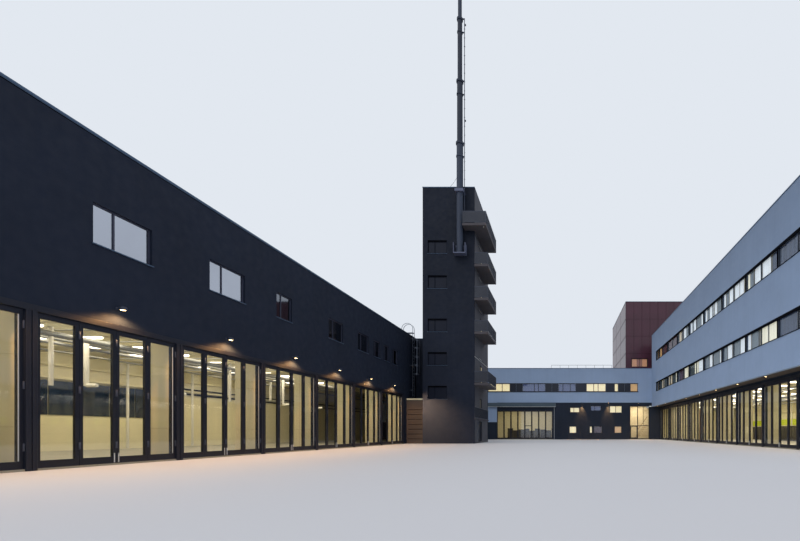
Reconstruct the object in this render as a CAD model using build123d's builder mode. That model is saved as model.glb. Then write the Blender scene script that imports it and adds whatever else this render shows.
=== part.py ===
"""Fire station round a yard, modelled at half its real size, in millimetres.

+X is to the right and +Y away from someone who stands in the yard and looks at the back wing.
The ground is z = 0, and the origin is the middle of the plan's outer box.
"""

import os

from build123d import *

os.makedirs("parts", exist_ok=True)

# General sizes
wall = 150.0
slab = 150.0
ground_slab = 30.0
bay = 2200.0
post_width = 130.0
pane = 12.0
fit = 0.3
reveal = 40.0
coping_height = 30.0
coping_overhang = 15.0
frame_bar = 25.0
frame_depth = 40.0
split_third = [0.36]
split_half = [0.5]

# Left hall
left_face_x = -7500.0
left_depth = 6500.0
left_end_y = -18475.0
left_bays = 7
end_post_offset = 75.0
left_top = 5350.0
left_floor_top = 3075.0
left_roof_top = 5150.0
door_head = 2275.0
left_sill = 3575.0
left_head = 4235.0
pier_depth = 500.0
left_windows_y = [
    (-17600.0, -16700.0),
    (-15450.0, -14525.0),
    (-13325.0, -12375.0),
    (-11325.0, -10725.0),
    (-8975.0, -8125.0),
    (-7125.0, -6325.0),
    (-5900.0, -5325.0),
    (-4975.0, -4475.0),
    (-4125.0, -3575.0),
    (2000.0, 2900.0),
    (4200.0, 5100.0),
    (6400.0, 7300.0),
]
outer_window_width = 925.0
outer_bays = 12

# Folding doors
leaves_per_door = 4
leaf_thickness = 40.0
leaf_setback = 20.0
leaf_gap = 6.0
stile = 48.0
top_rail = 80.0
bottom_rail = 110.0

# Tower
tower_left_x = -6710.0
tower_width = 2485.0
tower_front_y = -2575.0
tower_depth = 3500.0
tower_wall = 140.0
tower_top = 12325.0
tower_slab = 100.0
tower_roof_top = 12100.0
tower_clamp_z = 11900.0
tower_window_x = -6465.0
tower_window_width = 915.0
tower_window_height = 630.0
tower_window_sills = [2145.0, 3765.0, 5375.0, 7450.0, 9135.0]
balcony_floors = [2925.0, 5375.0, 7000.0, 8625.0, 10325.0]
french_floor = 1225.0
side_door_y = -1275.0
side_door_width = 500.0
side_door_height = 1040.0
foot_light_y = (-1480.0, -730.0)
foot_light_z = (90.0, 1090.0)

# Tower balconies
balcony_reach = 650.0
balcony_length = 2400.0
balcony_slab = 110.0
wrap_width = 450.0
wrap_reach = 525.0
rail_height = 560.0
rail_bar = 24.0
rail_post = 20.0
rail_sheet = 8.0
rail_lift = 40.0
rail_post_pitch = 600.0
ledge_reach = 60.0
ledge_thickness = 45.0

# Tower ground door
tower_door_y = -2140.0
tower_door_width = 560.0
tower_door_head = 1150.0
tower_door_thickness = 30.0
door_clearance = 7.0
knuckle_radius = 12.0
knuckle_height = 80.0
knuckle_feet = [150.0, 560.0, 970.0]
hinge_strap = 6.0
hinge_strap_length = 58.0

# Space between hall and tower
gate_y = -2525.0
gate_top = 2100.0
gate_thickness = 40.0
gate_stile = 30.0
gate_slat = 214.0
gate_gap = 20.0
infill_wall_y = -1275.0
infill_roof_slab = 75.0

# Roof ladder
ladder_y = -2000.0
ladder_width = 230.0
ladder_standoff = 150.0
ladder_foot = 2300.0
ladder_rests = [2600.0, 3825.0, 5150.0]
ladder_stile = 18.0
rung_pitch = 150.0
arch_radius = 280.0
arch_spring = 5630.0
landing_z = 5430.0
landing_thickness = 25.0
cage_radius = 170.0
cage_offset = 130.0
cage_strip = 6.0
cage_band = 24.0
cage_start = 3400.0
cage_pitch = 430.0
cage_hoops = 5
cage_turns = [-60.0, 0.0, 60.0]

# Mast
mast_x = -4870.0
mast_standoff = 200.0
mast_foot = 9050.0
mast_radii = [152.0, 131.0, 108.0, 90.0]
mast_section_tops = [14300.0, 17250.0, 20200.0, 21500.0]
mast_socket = 700.0
collar_height = 60.0
collar_rim = 22.0
conduit = 28.0
conduit_offset = 205.0
conduit_foot = 11000.0
bracket_width = 570.0
bracket_height = 450.0
bracket_plate = 25.0

# Back wing
back_y = 8250.0
back_depth = 6000.0
back_top = 5350.0
back_floor_top = 2900.0
back_roof_top = 5150.0
back_doors_x = -4900.0
back_leaves = 8
back_leaf_width = 520.0
wicket_leaf = 4
wicket_height = 1000.0
back_door_head = 2170.0
band_sill = 3595.0
band_head = 4195.0
band_panes_x = [
    (-5585.0, -3935.0),
    (-2990.0, -1275.0),
    (-300.0, 1010.0),
    (1800.0, 3260.0),
    (3910.0, 4195.0),
    (5095.0, 5660.0),
]
ground_windows = [
    (575.0, 1280.0, 2025.0, 2395.0),
    (2130.0, 2885.0, 2155.0, 2520.0),
    (3545.0, 4465.0, 1995.0, 2520.0),
    (525.0, 1050.0, 475.0, 985.0),
    (2045.0, 2235.0, 475.0, 985.0),
    (2360.0, 2970.0, 475.0, 985.0),
    (3910.0, 4445.0, 475.0, 985.0),
]
fascia_left_x = -5700.0
fascia_right_x = -490.0
fascia_bottom = 2445.0
fascia_height = 290.0
fascia_reach = 150.0
rear_bays = 8
guard_left_x = -850.0
guard_length = 4650.0
guard_setback = 750.0
guard_posts = 8
guard_height = 550.0
guard_bar = 20.0

# Entrance
entrance_left_x = 5045.0
entrance_right_x = 6520.0
entrance_head = 2520.0
entrance_bar = 50.0
transom_bottom = 1000.0
side_light_width = 575.0
entrance_leaf_thickness = 30.0
entrance_knuckle_feet = [150.0, 830.0]

# Dark red block
red_left_x = 5050.0
red_y = 10125.0
red_depth = 8350.0
red_top = 10950.0
red_roof_top = 10700.0
red_floor_tops = [2900.0, 5450.0, 8000.0]
red_window_x = 5515.0
red_window_width = 1275.0
red_sill = 5750.0
red_head = 6400.0
red_rear_windows = 3
red_rear_start = 1400.0
red_rear_pitch = 2600.0

# Right wing
right_face_x = 6700.0
right_overhang = 650.0
right_outer_x = 14000.0
right_top = 7800.0
right_roof_top = 7550.0
right_bays = 9
right_last_post_y = 8275.0
soffit = 2450.0
right_upper_floor_top = 5000.0
right_bands = [(3480.0, 4120.0), (5670.0, 6335.0)]
right_band_end_y = 6875.0
band_post = 30.0

# Lamps
lamp_width = 110.0
lamp_reach = 150.0
lamp_height = 60.0
lamp_z = 2600.0
back_lamps_x = [1460.0, 3410.0, 5695.0]
back_lamp_z = 2700.0
soffit_lamp = 100.0
soffit_lamp_drop = 20.0

# Places that follow from the sizes
left_outer_x = left_face_x - left_depth
first_post_y = left_end_y + end_post_offset
left_posts_y = [first_post_y + bay * i for i in range(left_bays + 1)]
tower_right_x = tower_left_x + tower_width
tower_rear_y = tower_front_y + tower_depth
back_rear_y = back_y + back_depth
red_rear_y = red_y + red_depth
right_posts_y = [right_last_post_y - bay * i for i in range(right_bays + 1)]
right_end_y = right_posts_y[-1] - end_post_offset
right_door_x = right_face_x + right_overhang
rail_floor_x = tower_right_x + balcony_reach
mast_y = tower_front_y - mast_standoff
ladder_x = left_face_x + ladder_standoff


def facing_right(x):
    """A sketch plane at x with Y across and Z up; extrusion goes towards +X."""
    return Plane(origin=(x, 0, 0), x_dir=(0, 1, 0), z_dir=(1, 0, 0))


def facing_yard(y):
    """A sketch plane at y with X across and Z up; extrusion goes towards -Y."""
    return Plane(origin=(0, y, 0), x_dir=(1, 0, 0), z_dir=(0, -1, 0))


def patch(across, up, mode=Mode.ADD):
    """A rectangle in the open sketch between two pairs of coordinates."""
    with Locations(((across[0] + across[1]) / 2, (up[0] + up[1]) / 2)):
        Rectangle(across[1] - across[0], up[1] - up[0], mode=mode)


def block(xs, ys, zs):
    """A plain block in the open part between three pairs of coordinates."""
    with BuildSketch(Plane.XY.offset(zs[0])) as plan:
        patch(xs, ys)
    extrude(plan.sketch, amount=zs[1] - zs[0])


def sheet_x(x, thickness, across, up, holes=()):
    """An upright sheet across Y from x to x + thickness, with rectangular holes."""
    with BuildSketch(facing_right(x)) as outline:
        patch(across, up)
        for hole_across, hole_up in holes:
            patch(hole_across, hole_up, Mode.SUBTRACT)
    extrude(outline.sketch, amount=thickness)


def sheet_y(y, thickness, across, up, holes=()):
    """An upright sheet across X from y to y + thickness, with rectangular holes."""
    with BuildSketch(facing_yard(y)) as outline:
        patch(across, up)
        for hole_across, hole_up in holes:
            patch(hole_across, hole_up, Mode.SUBTRACT)
    extrude(outline.sketch, amount=-thickness)


def save(builder, name):
    """Labels a finished piece and writes it as a STEP file."""
    builder.part.label = name
    export_step(builder.part, f"parts/{name}.step")


def door_holes(posts_y, foot, head):
    """The doorways between neighbouring posts, as holes across Y."""
    low = sorted(posts_y)
    holes = []
    for near, far in zip(low, low[1:]):
        holes.append(((near + post_width / 2, far - post_width / 2), (foot, head)))
    return holes


def window_parts(across, up, bar, splits):
    """The outline, and the glass spans, of one window divided at fractions of its width."""
    edges = [across[0] + bar]
    for share in splits:
        middle = across[0] + (across[1] - across[0]) * share
        edges += [middle - bar / 2, middle + bar / 2]
    edges.append(across[1] - bar)
    lights = [(edges[i], edges[i + 1]) for i in range(0, len(edges), 2)]
    return [(light, (up[0] + bar, up[1] - bar)) for light in lights]


# Openings in the walls, used by the walls, their frames and their glass
left_window_holes = [(span, (left_sill, left_head)) for span in left_windows_y]
left_door_holes = door_holes(left_posts_y, 0, door_head)
outer_window_holes = []
for index in range(outer_bays):
    middle_y = first_post_y + bay * (index + 0.5)
    outer_span = (middle_y - outer_window_width / 2, middle_y + outer_window_width / 2)
    outer_window_holes.append((outer_span, (left_sill, left_head)))

# Left hall, yard side
with BuildPart() as left_front_wall:
    sheet_x(
        left_face_x - wall,
        wall,
        (left_end_y, back_y),
        (0, left_top - coping_height),
        left_window_holes + left_door_holes,
    )
save(left_front_wall, "left_front_wall")

# Left hall, outer side
with BuildPart() as left_outer_wall:
    sheet_x(
        left_outer_x,
        wall,
        (left_end_y, back_y),
        (0, left_top - coping_height),
        outer_window_holes,
    )
save(left_outer_wall, "left_outer_wall")

# Left hall, near end
with BuildPart() as left_end_wall:
    sheet_y(
        left_end_y,
        wall,
        (left_outer_x + wall, left_face_x - wall),
        (0, left_top - coping_height),
    )
save(left_end_wall, "left_end_wall")

# Left hall, floors with tongues that carry the folding doors
with BuildPart() as left_floors:
    with BuildSketch(Plane.XY):
        patch((left_outer_x + wall, left_face_x - wall), (left_end_y + wall, back_y))
        for doorway, _ in left_door_holes:
            patch((left_face_x - wall, left_face_x), doorway)
    extrude(amount=ground_slab)
    block(
        (left_outer_x + wall, left_face_x - wall),
        (left_end_y + wall, back_y),
        (left_floor_top - slab, left_floor_top),
    )
save(left_floors, "left_floors")

with BuildPart() as left_roof:
    block(
        (left_outer_x + wall, left_face_x - wall),
        (left_end_y + wall, back_y),
        (left_roof_top - slab, left_roof_top),
    )
save(left_roof, "left_roof")


def leaf_glass(doorway, foot, head):
    """The glass openings of the four leaves that close one doorway."""
    pitch = (doorway[1] - doorway[0]) / leaves_per_door
    lights = []
    for index in range(leaves_per_door):
        near = doorway[0] + pitch * index + leaf_gap / 2 + stile
        far = doorway[0] + pitch * (index + 1) - leaf_gap / 2 - stile
        lights.append(((near, far), (foot + bottom_rail, head - top_rail)))
    return lights


def leaf_outlines(doorway, foot, head):
    """The outer edges of the four leaves that close one doorway."""
    pitch = (doorway[1] - doorway[0]) / leaves_per_door
    leaves = []
    for index in range(leaves_per_door):
        near = doorway[0] + pitch * index + leaf_gap / 2
        far = doorway[0] + pitch * (index + 1) - leaf_gap / 2
        leaves.append(((near, far), (foot, head)))
    return leaves


def folding_leaves(holes, x):
    """Framed leaves across Y in every doorway; x is the leaves' lower-x face."""
    head = door_head - leaf_gap
    with BuildSketch(facing_right(x)) as leaves:
        for doorway, _ in holes:
            for across, up in leaf_outlines(doorway, ground_slab, head):
                patch(across, up)
            for across, up in leaf_glass(doorway, ground_slab, head):
                patch(across, up, Mode.SUBTRACT)
    extrude(leaves.sketch, amount=leaf_thickness)


def folding_panes(holes, x):
    """One pane for each leaf of the doorways, in the middle of the leaf's thickness."""
    head = door_head - leaf_gap
    with BuildSketch(facing_right(x + (leaf_thickness - pane) / 2)) as panes:
        for doorway, _ in holes:
            for across, up in leaf_glass(doorway, ground_slab, head):
                patch(across, up)
    extrude(panes.sketch, amount=pane)


left_leaf_x = left_face_x - leaf_setback - leaf_thickness
with BuildPart() as left_folding_doors:
    folding_leaves(left_door_holes, left_leaf_x)
save(left_folding_doors, "left_folding_doors")


def frames_x(holes, x, splits):
    """Window frames across Y that fill their holes."""
    with BuildSketch(facing_right(x)) as frames:
        for across, up in holes:
            patch(across, up)
            for light, light_up in window_parts(across, up, frame_bar, splits):
                patch(light, light_up, Mode.SUBTRACT)
    extrude(frames.sketch, amount=frame_depth)


def panes_x(holes, x, splits):
    """The glass of window frames across Y."""
    with BuildSketch(facing_right(x + (frame_depth - pane) / 2)) as panes:
        for across, up in holes:
            for light, light_up in window_parts(across, up, frame_bar, splits):
                patch(light, light_up)
    extrude(panes.sketch, amount=pane)


def frames_y(holes, y, splits):
    """Window frames across X that fill their holes."""
    with BuildSketch(facing_yard(y)) as frames:
        for across, up in holes:
            patch(across, up)
            for light, light_up in window_parts(across, up, frame_bar, splits):
                patch(light, light_up, Mode.SUBTRACT)
    extrude(frames.sketch, amount=-frame_depth)


def panes_y(holes, y, splits):
    """The glass of window frames across X."""
    with BuildSketch(facing_yard(y + (frame_depth - pane) / 2)) as panes:
        for across, up in holes:
            for light, light_up in window_parts(across, up, frame_bar, splits):
                patch(light, light_up)
    extrude(panes.sketch, amount=-pane)


left_frame_x = left_face_x - reveal - frame_depth
outer_frame_x = left_outer_x + reveal
with BuildPart() as left_windows:
    frames_x(left_window_holes, left_frame_x, split_third)
    frames_x(outer_window_holes, outer_frame_x, split_third)
save(left_windows, "left_windows")

with BuildPart() as left_glass:
    folding_panes(left_door_holes, left_leaf_x)
    panes_x(left_window_holes, left_frame_x, split_third)
    panes_x(outer_window_holes, outer_frame_x, split_third)
save(left_glass, "left_glass")

# Piers behind the posts of both halls
right_ground_inner_x = right_door_x + wall
with BuildPart() as interior_piers:
    for post_y in left_posts_y[1:]:
        block(
            (left_face_x - wall - pier_depth, left_face_x - wall),
            (post_y - post_width / 2, post_y + post_width / 2),
            (ground_slab, left_floor_top - slab),
        )
    for post_y in right_posts_y[1:-1]:
        block(
            (right_ground_inner_x, right_ground_inner_x + pier_depth),
            (post_y - post_width / 2, post_y + post_width / 2),
            (ground_slab, soffit),
        )
save(interior_piers, "interior_piers")

# Gate of horizontal slats between hall and tower
gate_x = (left_face_x, tower_left_x)
slat_count = int((gate_top - 2 * gate_slat) / (gate_slat + gate_gap))
with BuildPart() as infill_gate:
    with BuildSketch(facing_yard(gate_y)):
        patch(gate_x, (0, gate_top))
        for index in range(slat_count):
            low = gate_slat + index * (gate_slat + gate_gap)
            patch(
                (gate_x[0] + gate_stile, gate_x[1] - gate_stile),
                (low, low + gate_gap),
                Mode.SUBTRACT,
            )
    extrude(amount=-gate_thickness)
save(infill_gate, "infill_gate")

with BuildPart() as infill_wall:
    sheet_y(infill_wall_y, wall, gate_x, (gate_top + infill_roof_slab, left_top - coping_height))
    sheet_y(tower_rear_y - wall, wall, gate_x, (0, left_top - coping_height))
save(infill_wall, "infill_wall")

with BuildPart() as infill_roof:
    block(gate_x, (gate_y, infill_wall_y + wall), (gate_top, gate_top + infill_roof_slab))
    block(
        gate_x,
        (infill_wall_y + wall, tower_rear_y - wall),
        (left_roof_top - slab, left_roof_top),
    )
save(infill_roof, "infill_roof")

# Tower
tower_inner_x = (tower_left_x + tower_wall, tower_right_x - tower_wall)
tower_inner_y = (tower_front_y + tower_wall, tower_rear_y - tower_wall)
tower_wall_top = tower_top - coping_height
tower_window_holes = []
for sill in tower_window_sills:
    across = (tower_window_x, tower_window_x + tower_window_width)
    tower_window_holes.append((across, (sill, sill + tower_window_height)))
balcony_door_holes = []
for floor in [french_floor] + balcony_floors:
    across = (side_door_y, side_door_y + side_door_width)
    balcony_door_holes.append((across, (floor, floor + side_door_height)))

with BuildPart() as tower_front_wall:
    sheet_y(
        tower_front_y,
        tower_wall,
        (tower_left_x, tower_right_x),
        (0, tower_wall_top),
        tower_window_holes,
    )
save(tower_front_wall, "tower_front_wall")

with BuildPart() as tower_rear_walls:
    with BuildSketch(Plane.XY):
        patch((tower_left_x, tower_inner_x[0]), (tower_inner_y[0], tower_rear_y))
        patch((tower_inner_x[0], tower_right_x), (tower_inner_y[1], tower_rear_y))
    extrude(amount=tower_wall_top)
save(tower_rear_walls, "tower_rear_walls")

tower_door_span = (tower_door_y, tower_door_y + tower_door_width)
with BuildPart() as tower_side_wall:
    sheet_x(
        tower_inner_x[1],
        tower_wall,
        tower_inner_y,
        (tower_door_head, tower_wall_top),
        balcony_door_holes,
    )
save(tower_side_wall, "tower_side_wall")

with BuildPart() as tower_side_front_pier:
    block(
        (tower_inner_x[1], tower_right_x),
        (tower_inner_y[0], tower_door_span[0]),
        (0, tower_door_head),
    )
save(tower_side_front_pier, "tower_side_front_pier")

tower_hinge = (
    tower_right_x + knuckle_radius + fit,
    tower_door_span[1] - door_clearance - knuckle_radius,
)


def barrel(axis_point, foot, height):
    """An eight-sided hinge barrel on an upright axis."""
    with BuildSketch(Plane.XY.offset(foot)) as section:
        with Locations(axis_point):
            RegularPolygon(knuckle_radius, 8)
    extrude(section.sketch, amount=height)


with BuildPart() as tower_side_rear_pier:
    sheet_x(
        tower_inner_x[1],
        tower_wall,
        (tower_door_span[1], tower_inner_y[1]),
        (0, tower_door_head),
        [(foot_light_y, foot_light_z)],
    )
    for leaf_foot in knuckle_feet:
        foot = leaf_foot - fit - knuckle_height
        barrel(tower_hinge, foot, knuckle_height)
        block(
            (tower_right_x + fit, tower_right_x + hinge_strap),
            (tower_hinge[1], tower_hinge[1] + hinge_strap_length),
            (foot, foot + knuckle_height),
        )
        block(
            (tower_right_x, tower_right_x + fit),
            (tower_door_span[1], tower_hinge[1] + hinge_strap_length),
            (foot, foot + knuckle_height),
        )
save(tower_side_rear_pier, "tower_side_rear_pier")

with BuildPart() as tower_floors:
    with BuildSketch(Plane.XY):
        patch(tower_inner_x, tower_inner_y)
        patch((tower_inner_x[1], tower_right_x), tower_door_span)
    extrude(amount=ground_slab)
    for top in [french_floor] + balcony_floors + [tower_roof_top]:
        block(tower_inner_x, tower_inner_y, (top - tower_slab, top))
save(tower_floors, "tower_floors")

tower_frame_y = tower_front_y + reveal
balcony_frame_x = tower_right_x - reveal - frame_depth
tower_side_holes = balcony_door_holes + [(foot_light_y, foot_light_z)]
with BuildPart() as tower_windows:
    frames_y(tower_window_holes, tower_frame_y, split_third)
    frames_x(tower_side_holes, balcony_frame_x, [])
save(tower_windows, "tower_windows")

with BuildPart() as tower_glass:
    panes_y(tower_window_holes, tower_frame_y, split_third)
    panes_x(tower_side_holes, balcony_frame_x, [])
save(tower_glass, "tower_glass")

# Balconies; the top one turns the front corner
balcony_y = (tower_front_y, tower_front_y + balcony_length)
wrap_x = (tower_right_x - wrap_width, rail_floor_x)
wrap_y = (tower_front_y - wrap_reach, tower_front_y)


def balcony_outline(wraps):
    """The plan of a balcony slab, with the part round the corner where it wraps."""
    patch((tower_right_x, rail_floor_x), balcony_y)
    if wraps:
        patch(wrap_x, wrap_y)


with BuildPart() as balcony_slabs:
    for floor in balcony_floors:
        with BuildSketch(Plane.XY.offset(floor - balcony_slab)):
            balcony_outline(floor == balcony_floors[-1])
        extrude(amount=balcony_slab)
    block(
        (tower_right_x, tower_right_x + ledge_reach),
        (tower_front_y, tower_rear_y),
        (french_floor - ledge_thickness, french_floor),
    )
save(balcony_slabs, "balcony_slabs")


def rail_strip(wraps, inset, thickness):
    """The plan of a rail that follows a balcony's free edges, inset from them."""
    out_x = rail_floor_x - inset
    far_y = balcony_y[1] - inset
    near_y = (wrap_y[0] if wraps else balcony_y[0]) + inset
    patch((out_x - thickness, out_x), (near_y, far_y))
    patch((tower_right_x, out_x), (far_y - thickness, far_y))
    start_x = wrap_x[0] + inset if wraps else tower_right_x
    patch((start_x, out_x), (near_y, near_y + thickness))
    if wraps:
        patch((start_x, start_x + thickness), (near_y, tower_front_y))


def rail_posts(wraps, inset):
    """Posts along a balcony's outer edge, at an even pitch."""
    out_x = rail_floor_x - inset - rail_post / 2
    near_y = (wrap_y[0] if wraps else balcony_y[0]) + inset + rail_post / 2
    far_y = balcony_y[1] - inset - rail_post / 2
    count = max(2, round((far_y - near_y) / rail_post_pitch) + 1)
    for index in range(count):
        post_y = near_y + (far_y - near_y) * index / (count - 1)
        patch(
            (out_x - rail_post / 2, out_x + rail_post / 2),
            (post_y - rail_post / 2, post_y + rail_post / 2),
        )


with BuildPart() as balcony_rails:
    for floor in balcony_floors:
        wraps = floor == balcony_floors[-1]
        with BuildSketch(Plane.XY.offset(floor)):
            rail_posts(wraps, 0)
        extrude(amount=rail_height - rail_bar)
        with BuildSketch(Plane.XY.offset(floor + rail_height - rail_bar)):
            rail_strip(wraps, 0, rail_post)
        extrude(amount=rail_bar)
        with BuildSketch(Plane.XY.offset(floor + rail_lift)):
            rail_strip(wraps, (rail_post - rail_sheet) / 2, rail_sheet)
        extrude(amount=rail_height - rail_bar - rail_lift)
    block(
        (tower_right_x, tower_right_x + rail_post),
        (tower_front_y, tower_rear_y),
        (french_floor, french_floor + rail_height),
    )
save(balcony_rails, "balcony_rails")

# Hinged door at the foot of the tower; its barrels stand on those of the rear pier
with BuildPart() as tower_door:
    block(
        (tower_right_x - tower_door_thickness, tower_right_x),
        (tower_door_span[0] + door_clearance, tower_door_span[1] - door_clearance),
        (ground_slab + door_clearance, tower_door_head - door_clearance),
    )
    for foot in knuckle_feet:
        barrel(tower_hinge, foot, knuckle_height)
        block(
            (tower_right_x, tower_right_x + hinge_strap),
            (tower_hinge[1] - hinge_strap_length, tower_hinge[1]),
            (foot, foot + knuckle_height),
        )
save(tower_door, "tower_door")

# Telescopic mast: each tube stands in a socket in the head of the one below
for index in range(len(mast_radii)):
    radius = mast_radii[index]
    rim = radius + collar_rim
    top = mast_section_tops[index]
    foot = mast_foot if index == 0 else mast_section_tops[index - 1] - mast_socket
    is_last = index == len(mast_radii) - 1
    outline = [(0, foot), (radius, foot)]
    if is_last:
        outline += [(radius, top), (0, top)]
    else:
        socket = mast_radii[index + 1] + fit
        outline += [
            (radius, top - mast_socket),
            (rim, top - mast_socket),
            (rim, top - mast_socket + collar_height),
            (radius, top - mast_socket + collar_height),
            (radius, top - collar_height),
            (rim, top - collar_height),
            (rim, top),
            (socket, top),
            (socket, top - mast_socket),
            (0, top - mast_socket),
        ]
    with BuildPart() as mast_tube:
        with BuildSketch(Plane(origin=(mast_x, mast_y, 0), x_dir=(1, 0, 0), z_dir=(0, -1, 0))):
            with BuildLine():
                Polyline(*outline, close=True)
            make_face()
        revolve(axis=Axis((mast_x, mast_y, 0), (0, 0, 1)))
        if not is_last:
            for lug_z in (top - mast_socket, top - collar_height):
                block(
                    (mast_x + radius, mast_x + conduit_offset),
                    (mast_y - conduit / 2, mast_y + conduit / 2),
                    (lug_z, lug_z + collar_height),
                )
    save(mast_tube, f"mast_section_{index + 1}")

# Conduit that climbs beside the mast on the collars' lugs
with BuildPart() as mast_conduit:
    block(
        (mast_x + conduit_offset, mast_x + conduit_offset + conduit),
        (mast_y - conduit / 2, mast_y + conduit / 2),
        (conduit_foot, mast_section_tops[2]),
    )
save(mast_conduit, "mast_conduit")

# Brackets that carry the mast on the tower's front
clamp_half = conduit_offset
with BuildPart() as mast_brackets:
    block(
        (mast_x - bracket_width / 2, mast_x + bracket_width / 2),
        (tower_front_y - bracket_plate, tower_front_y),
        (mast_foot - 2 * bracket_plate, mast_foot + bracket_height),
    )
    block(
        (mast_x - bracket_width / 2, mast_x + bracket_width / 2),
        (mast_y - mast_radii[0], tower_front_y - bracket_plate),
        (mast_foot - 2 * bracket_plate, mast_foot),
    )
    for side in (-1, 1):
        cheek = mast_x + side * (bracket_width - bracket_plate) / 2
        block(
            (cheek - bracket_plate / 2, cheek + bracket_plate / 2),
            (mast_y - mast_radii[0], tower_front_y - bracket_plate),
            (mast_foot, mast_foot + bracket_height),
        )
    with BuildSketch(Plane.XY.offset(tower_clamp_z)) as clamp:
        patch((mast_x - clamp_half, mast_x + clamp_half), (mast_y - clamp_half, tower_front_y))
        with Locations((mast_x, mast_y)):
            Circle(mast_radii[0] + fit, mode=Mode.SUBTRACT)
    extrude(clamp.sketch, amount=2 * collar_height)
save(mast_brackets, "mast_brackets")

# Caged ladder on the left hall's face; its stiles arch over the parapet down to the roof
ladder_side = ladder_width / 2
arch_x = ladder_x - arch_radius
with BuildPart() as roof_ladder:
    for side in (-1, 1):
        stile_y = ladder_y + side * (ladder_side - ladder_stile / 2)
        stile_span = (stile_y - ladder_stile / 2, stile_y + ladder_stile / 2)
        block((ladder_x - ladder_stile, ladder_x), stile_span, (ladder_foot, arch_spring))
        for rest_z in ladder_rests:
            block((left_face_x, ladder_x - ladder_stile), stile_span, (rest_z, rest_z + ladder_stile))
        with BuildSketch(facing_yard(stile_span[1])) as arch:
            with Locations((arch_x, arch_spring)):
                Circle(arch_radius)
                Circle(arch_radius - ladder_stile, mode=Mode.SUBTRACT)
            patch(
                (arch_x - arch_radius, arch_x + arch_radius),
                (arch_spring - arch_radius, arch_spring),
                Mode.SUBTRACT,
            )
        extrude(arch.sketch, amount=ladder_stile)
        block(
            (arch_x - arch_radius, arch_x - arch_radius + ladder_stile),
            stile_span,
            (left_roof_top, arch_spring),
        )
    block(
        (arch_x - arch_radius, ladder_x),
        (ladder_y - ladder_side + ladder_stile, ladder_y + ladder_side - ladder_stile),
        (landing_z, landing_z + landing_thickness),
    )
    for index in range(int((left_top - ladder_foot) / rung_pitch)):
        rung_z = ladder_foot + rung_pitch * (index + 0.5)
        block(
            (ladder_x - ladder_stile, ladder_x),
            (ladder_y - ladder_side + ladder_stile, ladder_y + ladder_side - ladder_stile),
            (rung_z, rung_z + ladder_stile),
        )
    cage_x = ladder_x + cage_offset
    for index in range(cage_hoops):
        hoop_z = cage_start + cage_pitch * index
        with BuildSketch(Plane.XY.offset(hoop_z)) as hoop:
            with Locations((cage_x, ladder_y)):
                Circle(cage_radius)
                Circle(cage_radius - cage_strip, mode=Mode.SUBTRACT)
            patch(
                (cage_x - 2 * cage_radius, ladder_x - ladder_stile),
                (ladder_y - cage_radius, ladder_y + cage_radius),
                Mode.SUBTRACT,
            )
        extrude(hoop.sketch, amount=cage_band)
    for turn in cage_turns:
        strip = Plane(origin=(cage_x, ladder_y, cage_start)).rotated((0, 0, turn))
        with BuildSketch(strip) as upright:
            with Locations((cage_radius - cage_strip / 2, 0)):
                Rectangle(cage_strip, cage_band)
        extrude(upright.sketch, amount=cage_pitch * (cage_hoops - 1) + cage_band)
save(roof_ladder, "roof_ladder")

# Back wing
band_holes = [(span, (band_sill, band_head)) for span in band_panes_x]
ground_holes = [((low_x, high_x), (low, high)) for low_x, high_x, low, high in ground_windows]
back_door_span = (back_doors_x, back_doors_x + back_leaves * back_leaf_width)
back_door_hole = (back_door_span, (0, back_door_head))
back_corner_x = entrance_left_x - post_width
with BuildPart() as back_front_wall:
    sheet_y(
        back_y,
        wall,
        (left_outer_x, back_corner_x),
        (0, back_top - coping_height),
        [hole for hole in band_holes if hole[0][1] < back_corner_x]
        + ground_holes
        + [back_door_hole],
    )
save(back_front_wall, "back_front_wall")

with BuildPart() as back_wall_over_entrance:
    sheet_y(
        back_y,
        wall,
        (back_corner_x, right_face_x),
        (entrance_head, back_top - coping_height),
        [hole for hole in band_holes if hole[0][1] > back_corner_x],
    )
save(back_wall_over_entrance, "back_wall_over_entrance")

with BuildPart() as entrance_side_walls:
    block((back_corner_x, entrance_left_x), (back_y, back_y + wall), (0, entrance_head))
    block((entrance_right_x, right_door_x), (back_y, back_y + wall), (0, soffit))
save(entrance_side_walls, "entrance_side_walls")

rear_window_holes = []
for index in range(rear_bays):
    middle_x = left_outer_x + bay * (index + 0.5)
    rear_span = (middle_x - outer_window_width / 2, middle_x + outer_window_width / 2)
    rear_window_holes.append((rear_span, (band_sill, band_head)))
with BuildPart() as back_rear_walls:
    sheet_y(
        back_rear_y - wall,
        wall,
        (left_outer_x, red_left_x),
        (0, back_top - coping_height),
        rear_window_holes,
    )
    block(
        (left_outer_x, left_outer_x + wall),
        (back_y + wall, back_rear_y - wall),
        (0, back_top - coping_height),
    )
save(back_rear_walls, "back_rear_walls")


def back_plan():
    """The plan inside the back wing's walls, with the strip in front of the red block."""
    patch((left_outer_x + wall, red_left_x), (back_y + wall, back_rear_y - wall))
    patch((red_left_x, right_face_x), (back_y + wall, red_y))


with BuildPart() as back_floors:
    with BuildSketch(Plane.XY):
        back_plan()
        patch(back_door_span, (back_y, back_y + wall))
        patch((entrance_left_x, entrance_right_x), (back_y, back_y + wall))
        patch((right_face_x, right_door_x), (back_y + wall, red_y))
    extrude(amount=ground_slab)
    with BuildSketch(Plane.XY.offset(back_floor_top - slab)):
        back_plan()
    extrude(amount=slab)
save(back_floors, "back_floors")

with BuildPart() as back_roof:
    with BuildSketch(Plane.XY.offset(back_roof_top - slab)):
        back_plan()
    extrude(amount=slab)
save(back_roof, "back_roof")

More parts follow.
